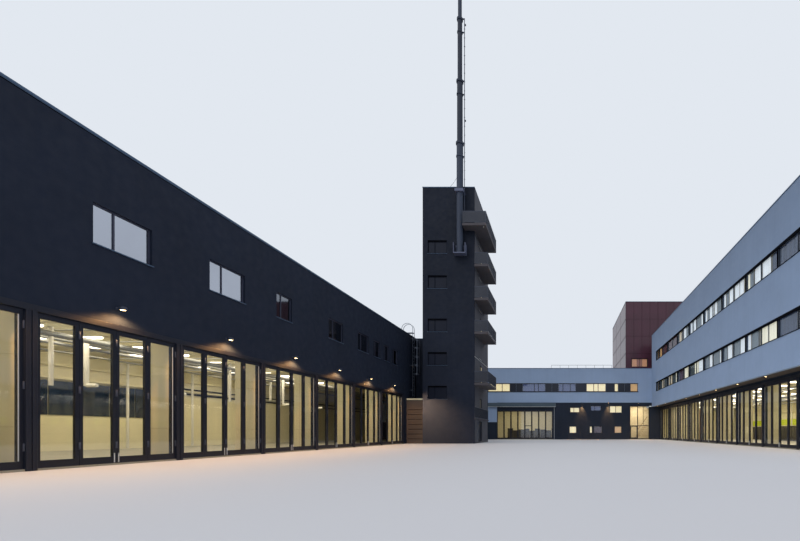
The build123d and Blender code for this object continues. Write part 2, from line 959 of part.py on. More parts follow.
back_frame_y = back_y + reveal
rear_frame_y = back_rear_y - reveal - frame_depth
with BuildPart() as back_windows:
    frames_y(band_holes + ground_holes, back_frame_y, [])
    frames_y(rear_window_holes, rear_frame_y, split_third)
save(back_windows, "back_windows")

# Glazed folding doors of the back wing; one leaf has a lower wicket
back_leaf_y = back_y + leaf_setback
back_leaves_x = []
back_lights_x = []
for index in range(back_leaves):
    near_x = back_doors_x + back_leaf_width * index + leaf_gap / 2
    far_x = near_x + back_leaf_width - leaf_gap
    back_leaves_x.append((near_x, far_x))
    back_lights_x.append((near_x + stile, far_x - stile))
back_leaf_foot = ground_slab
back_leaf_head = back_door_head - leaf_gap
light_up = (back_leaf_foot + bottom_rail, back_leaf_head - top_rail)
with BuildPart() as back_folding_doors:
    with BuildSketch(facing_yard(back_leaf_y)):
        for across in back_leaves_x:
            patch(across, (back_leaf_foot, back_leaf_head))
        for across in back_lights_x:
            patch(across, light_up, Mode.SUBTRACT)
        patch(back_lights_x[wicket_leaf], (wicket_height, wicket_height + stile))
    extrude(amount=-leaf_thickness)
save(back_folding_doors, "back_folding_doors")

with BuildPart() as door_fascia:
    block(
        (fascia_left_x, fascia_right_x),
        (back_y - fascia_reach, back_y),
        (fascia_bottom, fascia_bottom + fascia_height),
    )
save(door_fascia, "door_fascia")

# Guard rail on the back wing's roof edge
guard_y = back_y + guard_setback
with BuildPart() as roof_guardrail:
    for index in range(guard_posts):
        post_x = guard_left_x + (guard_length - guard_bar) * index / (guard_posts - 1)
        block(
            (post_x, post_x + guard_bar),
            (guard_y - guard_bar / 2, guard_y + guard_bar / 2),
            (back_roof_top, back_roof_top + guard_height),
        )
    for rail_z in (back_roof_top + guard_height / 2, back_roof_top + guard_height - guard_bar):
        block(
            (guard_left_x, guard_left_x + guard_length),
            (guard_y - guard_bar / 2, guard_y + guard_bar / 2),
            (rail_z, rail_z + guard_bar),
        )
save(roof_guardrail, "roof_guardrail")

# Entrance: a leaf beside a wide fixed light, with lights above a transom
mullion_x = entrance_left_x + side_light_width
entrance_y = back_y + reveal
leaf_space = (entrance_left_x + entrance_bar, mullion_x)
fixed_space = (mullion_x + entrance_bar, entrance_right_x - entrance_bar)
upper_up = (transom_bottom + entrance_bar, entrance_head - entrance_bar)
lower_up = (ground_slab + entrance_bar, transom_bottom)
middle_x = (fixed_space[0] + fixed_space[1]) / 2
entrance_lights = [
    (leaf_space, upper_up),
    ((fixed_space[0], middle_x - frame_bar / 2), upper_up),
    ((middle_x + frame_bar / 2, fixed_space[1]), upper_up),
    (fixed_space, lower_up),
]
entrance_hinge = (
    leaf_space[0] + door_clearance + knuckle_radius,
    entrance_y - knuckle_radius - fit,
)
with BuildPart() as entrance_frame:
    with BuildSketch(facing_yard(entrance_y)):
        patch((entrance_left_x, entrance_right_x), (ground_slab, entrance_head))
        for across, up in entrance_lights:
            patch(across, up, Mode.SUBTRACT)
        patch(leaf_space, (ground_slab, transom_bottom), Mode.SUBTRACT)
    extrude(amount=-entrance_bar)
    for leaf_foot in entrance_knuckle_feet:
        foot = leaf_foot - fit - knuckle_height
        barrel(entrance_hinge, foot, knuckle_height)
        block(
            (entrance_hinge[0] - hinge_strap_length, entrance_hinge[0]),
            (entrance_y - hinge_strap, entrance_y - fit),
            (foot, foot + knuckle_height),
        )
        block(
            (entrance_hinge[0] - hinge_strap_length, leaf_space[0]),
            (entrance_y - fit, entrance_y),
            (foot, foot + knuckle_height),
        )
save(entrance_frame, "entrance_frame")

# Glass of the back wing: windows, folding doors and the entrance's fixed lights
with BuildPart() as back_glass:
    panes_y(band_holes + ground_holes, back_frame_y, [])
    panes_y(rear_window_holes, rear_frame_y, split_third)
    with BuildSketch(facing_yard(back_leaf_y + (leaf_thickness - pane) / 2)):
        for across in back_lights_x:
            patch(across, light_up)
        patch(back_lights_x[wicket_leaf], (wicket_height, wicket_height + stile), Mode.SUBTRACT)
    extrude(amount=-pane)
    with BuildSketch(facing_yard(entrance_y + (entrance_bar - pane) / 2)):
        for across, up in entrance_lights:
            patch(across, up)
    extrude(amount=-pane)
save(back_glass, "back_glass")

leaf_near_x = leaf_space[0] + door_clearance
leaf_far_x = leaf_space[1] - door_clearance
leaf_up = (ground_slab + door_clearance, transom_bottom - door_clearance)
leaf_light_up = (leaf_up[0] + bottom_rail, leaf_up[1] - stile)
with BuildPart() as entrance_door:
    with BuildSketch(facing_yard(entrance_y)):
        patch((leaf_near_x, leaf_far_x), leaf_up)
        patch((leaf_near_x + stile, leaf_far_x - stile), leaf_light_up, Mode.SUBTRACT)
    extrude(amount=-entrance_leaf_thickness)
    for foot in entrance_knuckle_feet:
        barrel(entrance_hinge, foot, knuckle_height)
        block(
            (entrance_hinge[0], entrance_hinge[0] + hinge_strap_length),
            (entrance_y - hinge_strap, entrance_y),
            (foot, foot + knuckle_height),
        )
save(entrance_door, "entrance_door")

with BuildPart() as entrance_door_glass:
    with BuildSketch(facing_yard(entrance_y + (entrance_leaf_thickness - pane) / 2)):
        patch((leaf_near_x + stile, leaf_far_x - stile), leaf_light_up)
    extrude(amount=-pane)
save(entrance_door_glass, "entrance_door_glass")

# Dark red block
red_front_hole = ((red_window_x, red_window_x + red_window_width), (red_sill, red_head))
red_rear_holes = []
for index in range(red_rear_windows):
    near_x = red_left_x + red_rear_start + red_rear_pitch * index
    red_rear_holes.append(((near_x, near_x + red_window_width), (red_sill, red_head)))
with BuildPart() as red_front_wall:
    sheet_y(
        red_y,
        wall,
        (red_left_x, right_outer_x),
        (0, red_top - coping_height),
        [red_front_hole],
    )
save(red_front_wall, "red_front_wall")

with BuildPart() as red_rear_walls:
    sheet_y(
        red_rear_y - wall,
        wall,
        (red_left_x, right_outer_x),
        (0, red_top - coping_height),
        red_rear_holes,
    )
    for side_x in (red_left_x, right_outer_x - wall):
        block(
            (side_x, side_x + wall),
            (red_y + wall, red_rear_y - wall),
            (0, red_top - coping_height),
        )
save(red_rear_walls, "red_rear_walls")

red_inner_x = (red_left_x + wall, right_outer_x - wall)
red_inner_y = (red_y + wall, red_rear_y - wall)
with BuildPart() as red_floors:
    block(red_inner_x, red_inner_y, (0, ground_slab))
    for top in red_floor_tops + [red_roof_top]:
        block(red_inner_x, red_inner_y, (top - slab, top))
save(red_floors, "red_floors")

with BuildPart() as red_windows:
    frames_y([red_front_hole], red_y + reveal, split_half)
    frames_y(red_rear_holes, red_rear_y - reveal - frame_depth, split_half)
save(red_windows, "red_windows")

with BuildPart() as red_glass:
    panes_y([red_front_hole], red_y + reveal, split_half)
    panes_y(red_rear_holes, red_rear_y - reveal - frame_depth, split_half)
save(red_glass, "red_glass")

# Right wing
right_door_holes = door_holes(right_posts_y, 0, door_head)
right_band_holes = []
band_end_ys = [right_end_y + wall + band_post] + sorted(right_posts_y)[1:-1] + [right_band_end_y]
for sill, head in right_bands:
    for near, far in zip(band_end_ys, band_end_ys[1:]):
        right_band_holes.append(((near + band_post / 2, far - band_post / 2), (sill, head)))

# The top storey stops at the back wing's face; a low flat roof joins it to the rear block
low_roof_notch = ((back_y, red_y), (left_top - coping_height, right_top - coping_height))
right_wall_holes = right_band_holes + [low_roof_notch]

with BuildPart() as right_facade:
    sheet_x(
        right_face_x,
        wall,
        (right_end_y, red_y),
        (soffit, right_top - coping_height),
        right_wall_holes,
    )
save(right_facade, "right_facade")

with BuildPart() as right_ground_wall:
    sheet_x(
        right_door_x,
        wall,
        (right_end_y, red_y),
        (0, soffit),
        right_door_holes,
    )
save(right_ground_wall, "right_ground_wall")

with BuildPart() as right_outer_wall:
    sheet_x(
        right_outer_x - wall,
        wall,
        (right_end_y, red_y),
        (0, right_top - coping_height),
        right_wall_holes,
    )
save(right_outer_wall, "right_outer_wall")

with BuildPart() as right_end_wall:
    with BuildSketch(facing_yard(right_end_y)):
        patch((right_door_x + wall, right_outer_x - wall), (0, right_top - coping_height))
        patch((right_face_x + wall, right_outer_x - wall), (soffit, right_top - coping_height))
    extrude(amount=-wall)
    block(
        (right_face_x + wall, right_outer_x - wall),
        (back_y - wall, back_y),
        (right_upper_floor_top, right_top - coping_height),
    )
save(right_end_wall, "right_end_wall")

right_inner_y = (right_end_y + wall, red_y)
with BuildPart() as right_floors:
    with BuildSketch(Plane.XY):
        patch((right_door_x + wall, right_outer_x - wall), right_inner_y)
        for doorway, _ in right_door_holes:
            patch((right_door_x, right_door_x + wall), doorway)
    extrude(amount=ground_slab)
    for top in (soffit + slab, right_upper_floor_top):
        block(
            (right_face_x + wall, right_outer_x - wall),
            right_inner_y,
            (top - slab, top),
        )
save(right_floors, "right_floors")

with BuildPart() as right_roof:
    block(
        (right_face_x + wall, right_outer_x - wall),
        (right_end_y + wall, back_y - wall),
        (right_roof_top - slab, right_roof_top),
    )
save(right_roof, "right_roof")

right_leaf_x = right_door_x + leaf_setback
with BuildPart() as right_folding_doors:
    folding_leaves(right_door_holes, right_leaf_x)
save(right_folding_doors, "right_folding_doors")

right_frame_x = right_face_x + reveal
right_outer_frame_x = right_outer_x - reveal - frame_depth
with BuildPart() as right_windows:
    frames_x(right_band_holes, right_frame_x, split_half)
    frames_x(right_band_holes, right_outer_frame_x, split_half)
save(right_windows, "right_windows")

with BuildPart() as right_glass:
    folding_panes(right_door_holes, right_leaf_x)
    panes_x(right_band_holes, right_frame_x, split_half)
    panes_x(right_band_holes, right_outer_frame_x, split_half)
save(right_glass, "right_glass")

# Lamps on the walls and under the soffit
with BuildPart() as wall_lamps:
    for near, far in zip(left_posts_y, left_posts_y[1:]):
        middle = (near + far) / 2
        block(
            (left_face_x, left_face_x + lamp_reach),
            (middle - lamp_width / 2, middle + lamp_width / 2),
            (lamp_z, lamp_z + lamp_height),
        )
    for lamp_x in back_lamps_x:
        block(
            (lamp_x - lamp_width / 2, lamp_x + lamp_width / 2),
            (back_y - lamp_reach, back_y),
            (back_lamp_z, back_lamp_z + lamp_height),
        )
    for near, far in zip(right_posts_y, right_posts_y[1:]):
        middle = (near + far) / 2
        block(
            (right_face_x + wall, right_face_x + wall + soffit_lamp),
            (middle - soffit_lamp / 2, middle + soffit_lamp / 2),
            (soffit - soffit_lamp_drop, soffit),
        )
save(wall_lamps, "wall_lamps")

# Metal copings on the parapets
lip = coping_overhang
over = wall + lip


def ring(xs, ys, width):
    """The plan of a coping ring on walls whose outer faces are given."""
    patch((xs[0] - lip, xs[1] + lip), (ys[0] - lip, ys[1] + lip))
    patch(
        (xs[0] + width + lip, xs[1] - width - lip),
        (ys[0] + width + lip, ys[1] - width - lip),
        Mode.SUBTRACT,
    )


with BuildPart() as parapet_copings:
    with BuildSketch(Plane.XY.offset(left_top - coping_height)):
        patch((left_face_x - over, left_face_x + lip), (left_end_y - lip, back_y + over))
        patch((left_outer_x - lip, left_outer_x + over), (left_end_y - lip, back_rear_y + lip))
        patch((left_outer_x - lip, left_face_x + lip), (left_end_y - lip, left_end_y + over))
        patch((left_outer_x, right_face_x), (back_y - lip, back_y + over))
        patch((left_outer_x, red_left_x), (back_rear_y - over, back_rear_y + lip))
        patch(gate_x, (infill_wall_y - lip, infill_wall_y + over))
        patch(gate_x, (tower_rear_y - over, tower_rear_y + lip))
        patch((right_face_x - lip, right_face_x + over), (back_y, red_y))
        patch((right_outer_x - over, right_outer_x + lip), (back_y, red_y))
    extrude(amount=coping_height)
    with BuildSketch(Plane.XY.offset(right_top - coping_height)):
        patch((right_face_x - lip, right_face_x + over), (right_end_y - lip, back_y + lip))
        patch((right_outer_x - over, right_outer_x + lip), (right_end_y - lip, back_y + lip))
        patch((right_face_x, right_outer_x), (right_end_y - lip, right_end_y + over))
        patch((right_face_x, right_outer_x), (back_y - over, back_y + lip))
    extrude(amount=coping_height)
    with BuildSketch(Plane.XY.offset(red_top - coping_height)):
        ring((red_left_x, right_outer_x), (red_y, red_rear_y), wall)
    extrude(amount=coping_height)
    with BuildSketch(Plane.XY.offset(tower_top - coping_height)):
        ring((tower_left_x, tower_right_x), (tower_front_y, tower_rear_y), tower_wall)
    extrude(amount=coping_height)
save(parapet_copings, "parapet_copings")
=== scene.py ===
"""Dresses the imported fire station: finishes, fittings, lit interiors, floor, light and camera.

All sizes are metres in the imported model's frame: +X right, +Y away from the yard, z = 0 ground.
"""

import math

import bpy
import mathutils
import numpy as np
from bpy.props import FloatProperty, FloatVectorProperty, PointerProperty
from bpy.types import Operator, Panel, PropertyGroup
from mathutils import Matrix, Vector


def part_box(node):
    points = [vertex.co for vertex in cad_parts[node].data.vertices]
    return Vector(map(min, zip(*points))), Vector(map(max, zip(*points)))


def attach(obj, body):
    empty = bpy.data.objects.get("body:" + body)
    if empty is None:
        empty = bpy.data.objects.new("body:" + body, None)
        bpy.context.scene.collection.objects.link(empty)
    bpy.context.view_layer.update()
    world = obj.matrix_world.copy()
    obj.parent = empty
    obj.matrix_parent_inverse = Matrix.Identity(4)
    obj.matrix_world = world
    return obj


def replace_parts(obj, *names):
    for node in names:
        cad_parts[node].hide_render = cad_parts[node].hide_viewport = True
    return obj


bl_info = {
    "name": "Fire Station Dressing",
    "version": (1, 0, 0),
    "blender": (4, 5, 0),
    "location": "View3D > Sidebar > Station",
    "description": "Finishes, fittings and lit interiors for a fire station round a yard",
    "category": "Object",
}

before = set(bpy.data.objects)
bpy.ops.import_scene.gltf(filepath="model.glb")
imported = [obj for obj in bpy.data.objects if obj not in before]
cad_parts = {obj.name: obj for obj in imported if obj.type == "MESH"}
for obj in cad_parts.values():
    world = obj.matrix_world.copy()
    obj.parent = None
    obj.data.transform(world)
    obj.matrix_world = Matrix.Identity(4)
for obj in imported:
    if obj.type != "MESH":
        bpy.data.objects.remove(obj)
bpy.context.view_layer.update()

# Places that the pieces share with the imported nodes
LEFT_FACE = -7.5
LEFT_OUTER = -14.0
RIGHT_FACE = 6.7
RIGHT_DOOR = 7.35
RIGHT_OUTER = 14.0
BACK_FACE = 8.25
BACK_REAR = 14.25
TOWER_RIGHT = -4.225
TOWER_FRONT = -2.575
TOWER_REAR = 0.925
RED_LEFT = 5.05
RED_FRONT = 10.125
RED_REAR = 18.475
COPING_REACH = (-18.47, 8.23)
BAY = 2.2
POST = 0.13
DOOR_HEAD = 2.269
LEAF_SETBACK = 0.02
LEFT_POSTS = -18.4 + BAY * np.arange(8)
RIGHT_POSTS = 8.275 - BAY * np.arange(10)
LEFT_WINDOWS = np.array(
    [
        (-17.6, -16.7),
        (-15.45, -14.525),
        (-13.325, -12.375),
        (-11.325, -10.725),
        (-8.975, -8.125),
        (-7.125, -6.325),
        (-5.9, -5.325),
        (-4.975, -4.475),
        (-4.125, -3.575),
        (2.0, 2.9),
        (4.2, 5.1),
        (6.4, 7.3),
    ]
)
LEFT_SILL = 3.575
OUTER_WINDOW = 0.925
BALCONY_FLOORS = [2.925, 5.375, 7.0, 8.625, 10.325]
BALCONY_DEPTH = 0.65
BALCONY_LENGTH = 2.4
FRENCH_FLOOR = 1.225
RAIL_HEIGHT = 0.56
BACK_BAND = (3.595, 4.195)
BACK_DOORS = (-4.9, -0.74)
FASCIA = (-5.7, -0.49, 2.445, 2.735)
RIGHT_BANDS = [(3.48, 4.12), (5.67, 6.335)]
# Painted light and shade on the pale render: between these heights its colour runs from the first
# factor at the foot to the second at the top
PALE_LIMITS = (2.6, 7.8)
PALE_HEIGHT_LIGHT = (1.36, 0.9)
TOWER_WINDOW_SILLS = np.array([2.145, 3.765, 5.375, 7.45, 9.135])
TOWER_WINDOW_HEIGHT = 0.63
TOWER_WINDOW_X = (-6.465, -5.55)
SIDE_DOOR_Y = (-1.275, -0.775)
MAST_PLACE = (-4.87, -2.775)
GLAZING_END = -8.5
MAST_SECTIONS = [(0.152, 14.3), (0.131, 17.25), (0.108, 20.2)]
# What hangs in the right wing's ribbon windows, glowing with painted light: a word for its finish,
# near edge, far edge
LOWER_CURTAINS = [
    ("green", -11.3, -10.28),
    ("dim", -10.18, -9.21),
    ("cream", -9.11, -8.61),
    ("cream", -8.52, -8.05),
    ("grey", -7.9, -7.4),
    ("white", -7.32, -7.01),
    ("white", -6.92, -6.49),
    ("grey", -6.44, -5.83),
    ("white", -5.72, -5.31),
    ("grey", -5.26, -4.93),
    ("white", -4.89, -4.51),
    ("grey", -4.42, -3.74),
    ("white", -3.68, -3.27),
    ("grey", -3.21, -2.44),
    ("white", -2.38, -1.82),
    ("cream", -1.7, -1.21),
    ("green", -1.14, -0.47),
    ("cream", -0.41, -0.07),
    ("cream", -0.01, 0.5),
    ("plum", 0.6, 1.53),
    ("cream", 1.68, 2.28),
    ("green", 2.41, 2.95),
    ("strip", 3.04, 3.41),
    ("strip", 3.69, 4.01),
    ("green", 4.13, 5),
    ("strip", 5.1, 5.56),
    ("green", 5.7, 6.27),
    ("strip", 6.38, 6.8),
]
UPPER_CURTAINS = [
    ("dim", -11.3, -8.82),
    ("white", -8.73, -8.2),
    ("white", -8.12, -7.64),
    ("grey", -7.53, -7.29),
    ("cream", -7.27, -6.84),
    ("white", -6.75, -6.44),
    ("white", -6.36, -6.02),
    ("white", -5.93, -5.5),
    ("grey", -5.42, -5.16),
    ("white", -5.12, -4.87),
    ("grey", -4.8, -4.19),
    ("white", -4.12, -3.87),
    ("white", -3.79, -3.27),
    ("grey", -3.21, -2.99),
    ("white", -2.91, -2.68),
    ("white", -2.62, -2.19),
    ("grey", -2.11, -1.43),
    ("white", -1.37, -1.04),
    ("grey", -0.99, -0.79),
    ("white", -0.74, -0.41),
    ("grey", -0.25, 0.25),
    ("white", 0.3, 0.69),
    ("strip", 1.16, 1.52),
    ("plum", 1.68, 2.73),
    ("plum", 2.82, 4.13),
    ("plum", 4.23, 5.7),
    ("ochre", 5.81, 6.8),
]
ROOM_FINISHES = {
    "white": "white_curtain",
    "cream": "cream_curtain",
    "grey": "grey_curtain",
    "dim": "dim_curtain",
    "plum": "plum_room",
    "ochre": "ochre_room",
    "green": "green_room",
    "strip": "stair_glow",
    "warm_room": "warm_room",
    "blind": "grey_blind",
}
# Rooms behind the back wing's window band, panels that glow with painted light: edges along x,
# finish, mullions between the edges
BACK_ROOMS = [
    (-5.585, -3.935, "warm_room", [-4.52]),
    (-2.99, -1.275, "blind", [-2.1, -1.8]),
    (-0.3, 1.01, "blind", [0.04, 0.59]),
    (1.8, 3.26, "warm_room", [2.35, 2.68]),
    (3.91, 4.195, "warm_room", []),
    (5.095, 5.66, "ochre", []),
]
# Rooms behind its ground storey's windows, panels that glow with painted light: edges along x, sill,
# head, finish
GROUND_ROOMS = [
    (0.575, 1.28, 2.025, 2.395, "warm_room"),
    (2.13, 2.885, 2.155, 2.52, "blind"),
    (3.545, 4.465, 1.995, 2.52, "warm_room"),
    (0.525, 1.05, 0.475, 0.985, "warm_room"),
    (2.045, 2.235, 0.475, 0.985, "warm_room"),
    (2.36, 2.97, 0.475, 0.985, "plum"),
    (3.91, 4.445, 0.475, 0.985, "ochre"),
]

# Room faces of the outer walls, the rooms' ends and ceilings, how deep a wall's outer render
# goes, and the radius of the floor under everything
LEFT_ROOM = -13.85
RIGHT_ROOM = 13.85
HALL_NEAR = -18.3
WING_NEAR = -11.4
ROOMS_FAR = 8.2
WALL = 0.149
LOW_CEILING = 5.14
HIGH_CEILING = 7.54
FLOOR_REACH = 1500.0


def srgb(red, green, blue):
    """A colour given as 0 to 255 on a screen, as the linear values that materials take."""
    share = np.array([red, green, blue]) / 255.0
    linear = np.where(share <= 0.04045, share / 12.92, ((share + 0.055) / 1.055) ** 2.4)
    return tuple(float(value) for value in linear)


# ---------------------------------------------------------------- shapes

SECTION_X = np.array([1, 1, 1, -1, -1, -1, -1, 1])
SECTION_Y = np.array([-1, 1, 1, 1, 1, -1, -1, -1])
CUT_X = np.array([0, 0, 1, 1, 0, 0, 1, 1])
CUT_Y = np.array([1, 1, 0, 0, 1, 1, 0, 0])


def grid_faces(rings, around):
    """Quads of a closed tube: ring number by place around, wound to face outwards."""
    ring, side = np.meshgrid(np.arange(rings - 1), np.arange(around), indexing="ij")
    after = (side + 1) % around
    near = ring * around
    far = near + around
    quads = np.stack([near + side, near + after, far + after, far + side], axis=-1)
    return quads.reshape(-1, 4)


def capped(points, around):
    """Faces for many closed tubes; points is (tubes, rings, around, 3)."""
    tubes, rings = points.shape[0], points.shape[1]
    step = rings * around
    first = np.arange(tubes)[:, None] * step
    quads = (grid_faces(rings, around)[None] + first[..., None]).reshape(-1, 4)
    turn = np.arange(around)
    foot = first + turn[::-1][None]
    head = first + (rings - 1) * around + turn[None]
    return points.reshape(-1, 3), [quads, foot, head]


def bars(lows, highs, chamfer):
    """Chamfered bars between low and high corners.

    The section is a rectangle with its corners cut by the chamfer. It is carried up z through
    four rings: drawn in by 0.6 of the chamfer, full, full, and drawn in again.
    """
    lows = np.atleast_2d(np.asarray(lows, dtype=float))
    highs = np.atleast_2d(np.asarray(highs, dtype=float))
    half = (highs - lows) / 2
    middle = (highs + lows) / 2
    cut = np.minimum(chamfer, half.min(axis=1) * 0.8)[:, None]
    inset = cut * np.array([0.6, 0.0, 0.0, 0.6])
    corner = cut * np.array([0.4, 1.0, 1.0, 0.4])
    level = np.stack([-half[:, 2], -half[:, 2], half[:, 2], half[:, 2]], axis=1)
    level = level + cut * np.array([0.0, 1.0, -1.0, 0.0])
    reach_x = (half[:, :1] - inset)[..., None] - CUT_X * corner[..., None]
    reach_y = (half[:, 1:2] - inset)[..., None] - CUT_Y * corner[..., None]
    points = np.stack(
        [
            SECTION_X * reach_x,
            SECTION_Y * reach_y,
            np.broadcast_to(level[..., None], reach_x.shape),
        ],
        axis=-1,
    )
    return capped(points + middle[:, None, None, :], 8)


def rods(starts, ends, radius, sides=12):
    """Round rods: a circle carried from start to end through four rings, its rims rounded."""
    starts = np.atleast_2d(np.asarray(starts, dtype=float))
    ends = np.atleast_2d(np.asarray(ends, dtype=float))
    run = ends - starts
    length = np.linalg.norm(run, axis=1, keepdims=True)
    ahead = run / length
    helper = np.where(np.abs(ahead[:, 2:3]) > 0.9, [[1.0, 0.0, 0.0]], [[0.0, 0.0, 1.0]])
    across = np.cross(helper, ahead)
    across /= np.linalg.norm(across, axis=1, keepdims=True)
    up = np.cross(ahead, across)
    turn = 2 * math.pi * np.arange(sides) / sides
    rim = min(0.3 * radius, 0.004)
    along = np.stack([0 * length, 0 * length + rim, length - rim, length], axis=1)
    wide = radius - rim * np.array([1.0, 0.0, 0.0, 1.0])
    circle = np.cos(turn)[:, None] * across[:, None] + np.sin(turn)[:, None] * up[:, None]
    points = (
        starts[:, None, None]
        + along[:, :, None] * ahead[:, None, None]
        + wide[None, :, None, None] * circle[:, None]
    )
    return capped(points, sides)


def lathed(profile, centres, sides=24):
    """A profile of (radius, height) pairs, listed upwards, turned about upright axes."""
    profile = np.asarray(profile, dtype=float)
    centres = np.atleast_2d(np.asarray(centres, dtype=float))
    turn = 2 * math.pi * np.arange(sides) / sides
    ring = np.stack(
        [
            profile[:, :1] * np.cos(turn),
            profile[:, :1] * np.sin(turn),
            np.broadcast_to(profile[:, 1:], (len(profile), sides)),
        ],
        axis=-1,
    )
    return capped(ring[None] + centres[:, None, None], sides)


def slats(low, high, pitch, tilt, normal_axis):
    """Blind slats that fill an upright opening: a thin crowned strip repeated down the drop.

    The strip's closed profile is an arc out and back, turned by the tilt. It is carried from one
    side of the opening to the other, and copied at the pitch from top to bottom.
    """
    low, high = np.asarray(low, dtype=float), np.asarray(high, dtype=float)
    count = max(2, int((high[2] - low[2]) / pitch))
    across_axis = 1 - normal_axis
    share = np.linspace(-1, 1, 5)
    wide = pitch * 0.62
    crown = pitch * 0.12 * (1 - share**2)
    arc = np.stack([share * wide, crown], axis=1)
    back = np.stack([share[::-1] * wide, crown[::-1] - pitch * 0.05], axis=1)
    loop = np.concatenate([back, arc])
    turned = loop @ np.array([[math.cos(tilt), math.sin(tilt)], [-math.sin(tilt), math.cos(tilt)]])
    middle = (low[normal_axis] + high[normal_axis]) / 2
    heights = high[2] - pitch * (np.arange(count) + 0.6)
    points = np.empty((count, 2, len(loop), 3))
    points[..., normal_axis] = middle + turned[:, 0]
    points[..., 2] = heights[:, None, None] + turned[:, 1]
    points[:, 0, :, across_axis] = low[across_axis]
    points[:, 1, :, across_axis] = high[across_axis]
    if normal_axis == 0:
        points = points[:, ::-1]
    return capped(points, len(loop))


def curtains(spans, foot, head, place, pleat=0.075, depth=0.011, thick=0.003):
    """Hanging curtains between the near and far edges in spans, along y.

    In plan the cloth follows place + depth * sin(2 pi y / pleat). The loop runs out along one
    face and back along the other, and is carried from foot to head.
    """
    spans = np.atleast_2d(np.asarray(spans, dtype=float))
    share = np.linspace(0.0, 1.0, 61)
    along = spans[:, :1] + (spans[:, 1:] - spans[:, :1]) * share
    wave = place + depth * np.sin(2 * math.pi * along / pleat)
    loop_x = np.concatenate([wave + thick, wave[:, ::-1]], axis=1)
    loop_y = np.concatenate([along, along[:, ::-1]], axis=1)
    rings = [np.stack([loop_x, loop_y, np.full(loop_x.shape, z)], axis=-1) for z in (foot, head)]
    return capped(np.stack(rings, axis=1), loop_x.shape[1])


def places(x, y, z):
    """Points from x, y and z, where a single value is repeated along the longest list."""
    return np.stack(np.broadcast_arrays(x, y, z), axis=-1).astype(float)


def middles(posts):
    """The middle of each bay between posts."""
    return (posts[:-1] + posts[1:]) / 2


def boxes(chamfer, *reaches):
    """Bars from reaches (x0, x1, y0, y1, z0, z1); a list in a reach makes a row of bars."""
    rows = [np.stack(np.broadcast_arrays(*reach), axis=-1).reshape(-1, 6) for reach in reaches]
    rows = np.concatenate(rows).astype(float)
    return bars(rows[:, ::2], rows[:, 1::2], chamfer)


def joined(*shapes):
    """Several shapes as one list of points and faces, with faces grouped by their corners."""
    points = []
    faces = []
    count = 0
    for corners, groups in shapes:
        points.append(corners)
        faces += [group + count for group in groups]
        count += len(corners)
    return np.concatenate(points), faces


def piece(name, shape, finish, slot, body="building", smooth=False):
    """Makes one mesh object at the origin from points and faces, with its named finish."""
    points, groups = shape
    mesh = bpy.data.meshes.new(name)
    corners = np.concatenate([group.ravel() for group in groups]).astype(np.int32)
    totals = np.concatenate([np.full(len(g), g.shape[1]) for g in groups]).astype(np.int32)
    starts = np.concatenate([[0], np.cumsum(totals)[:-1]]).astype(np.int32)
    mesh.vertices.add(len(points))
    mesh.vertices.foreach_set("co", np.asarray(points, dtype=np.float32).ravel())
    mesh.loops.add(len(corners))
    mesh.loops.foreach_set("vertex_index", corners)
    mesh.polygons.add(len(totals))
    mesh.polygons.foreach_set("loop_start", starts)
    mesh.polygons.foreach_set("use_smooth", np.full(len(totals), smooth))
    mesh.update(calc_edges=True)
    if mesh.validate():
        raise RuntimeError(f"{name} has faces that the mesh can't hold")
    mesh.materials.append(made_finishes[finish])
    made = bpy.data.objects.new(name, mesh)
    bpy.context.scene.collection.objects.link(made)
    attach(made, body)
    return made


# -------------------------------------------------------------- finishes

made_finishes = {}


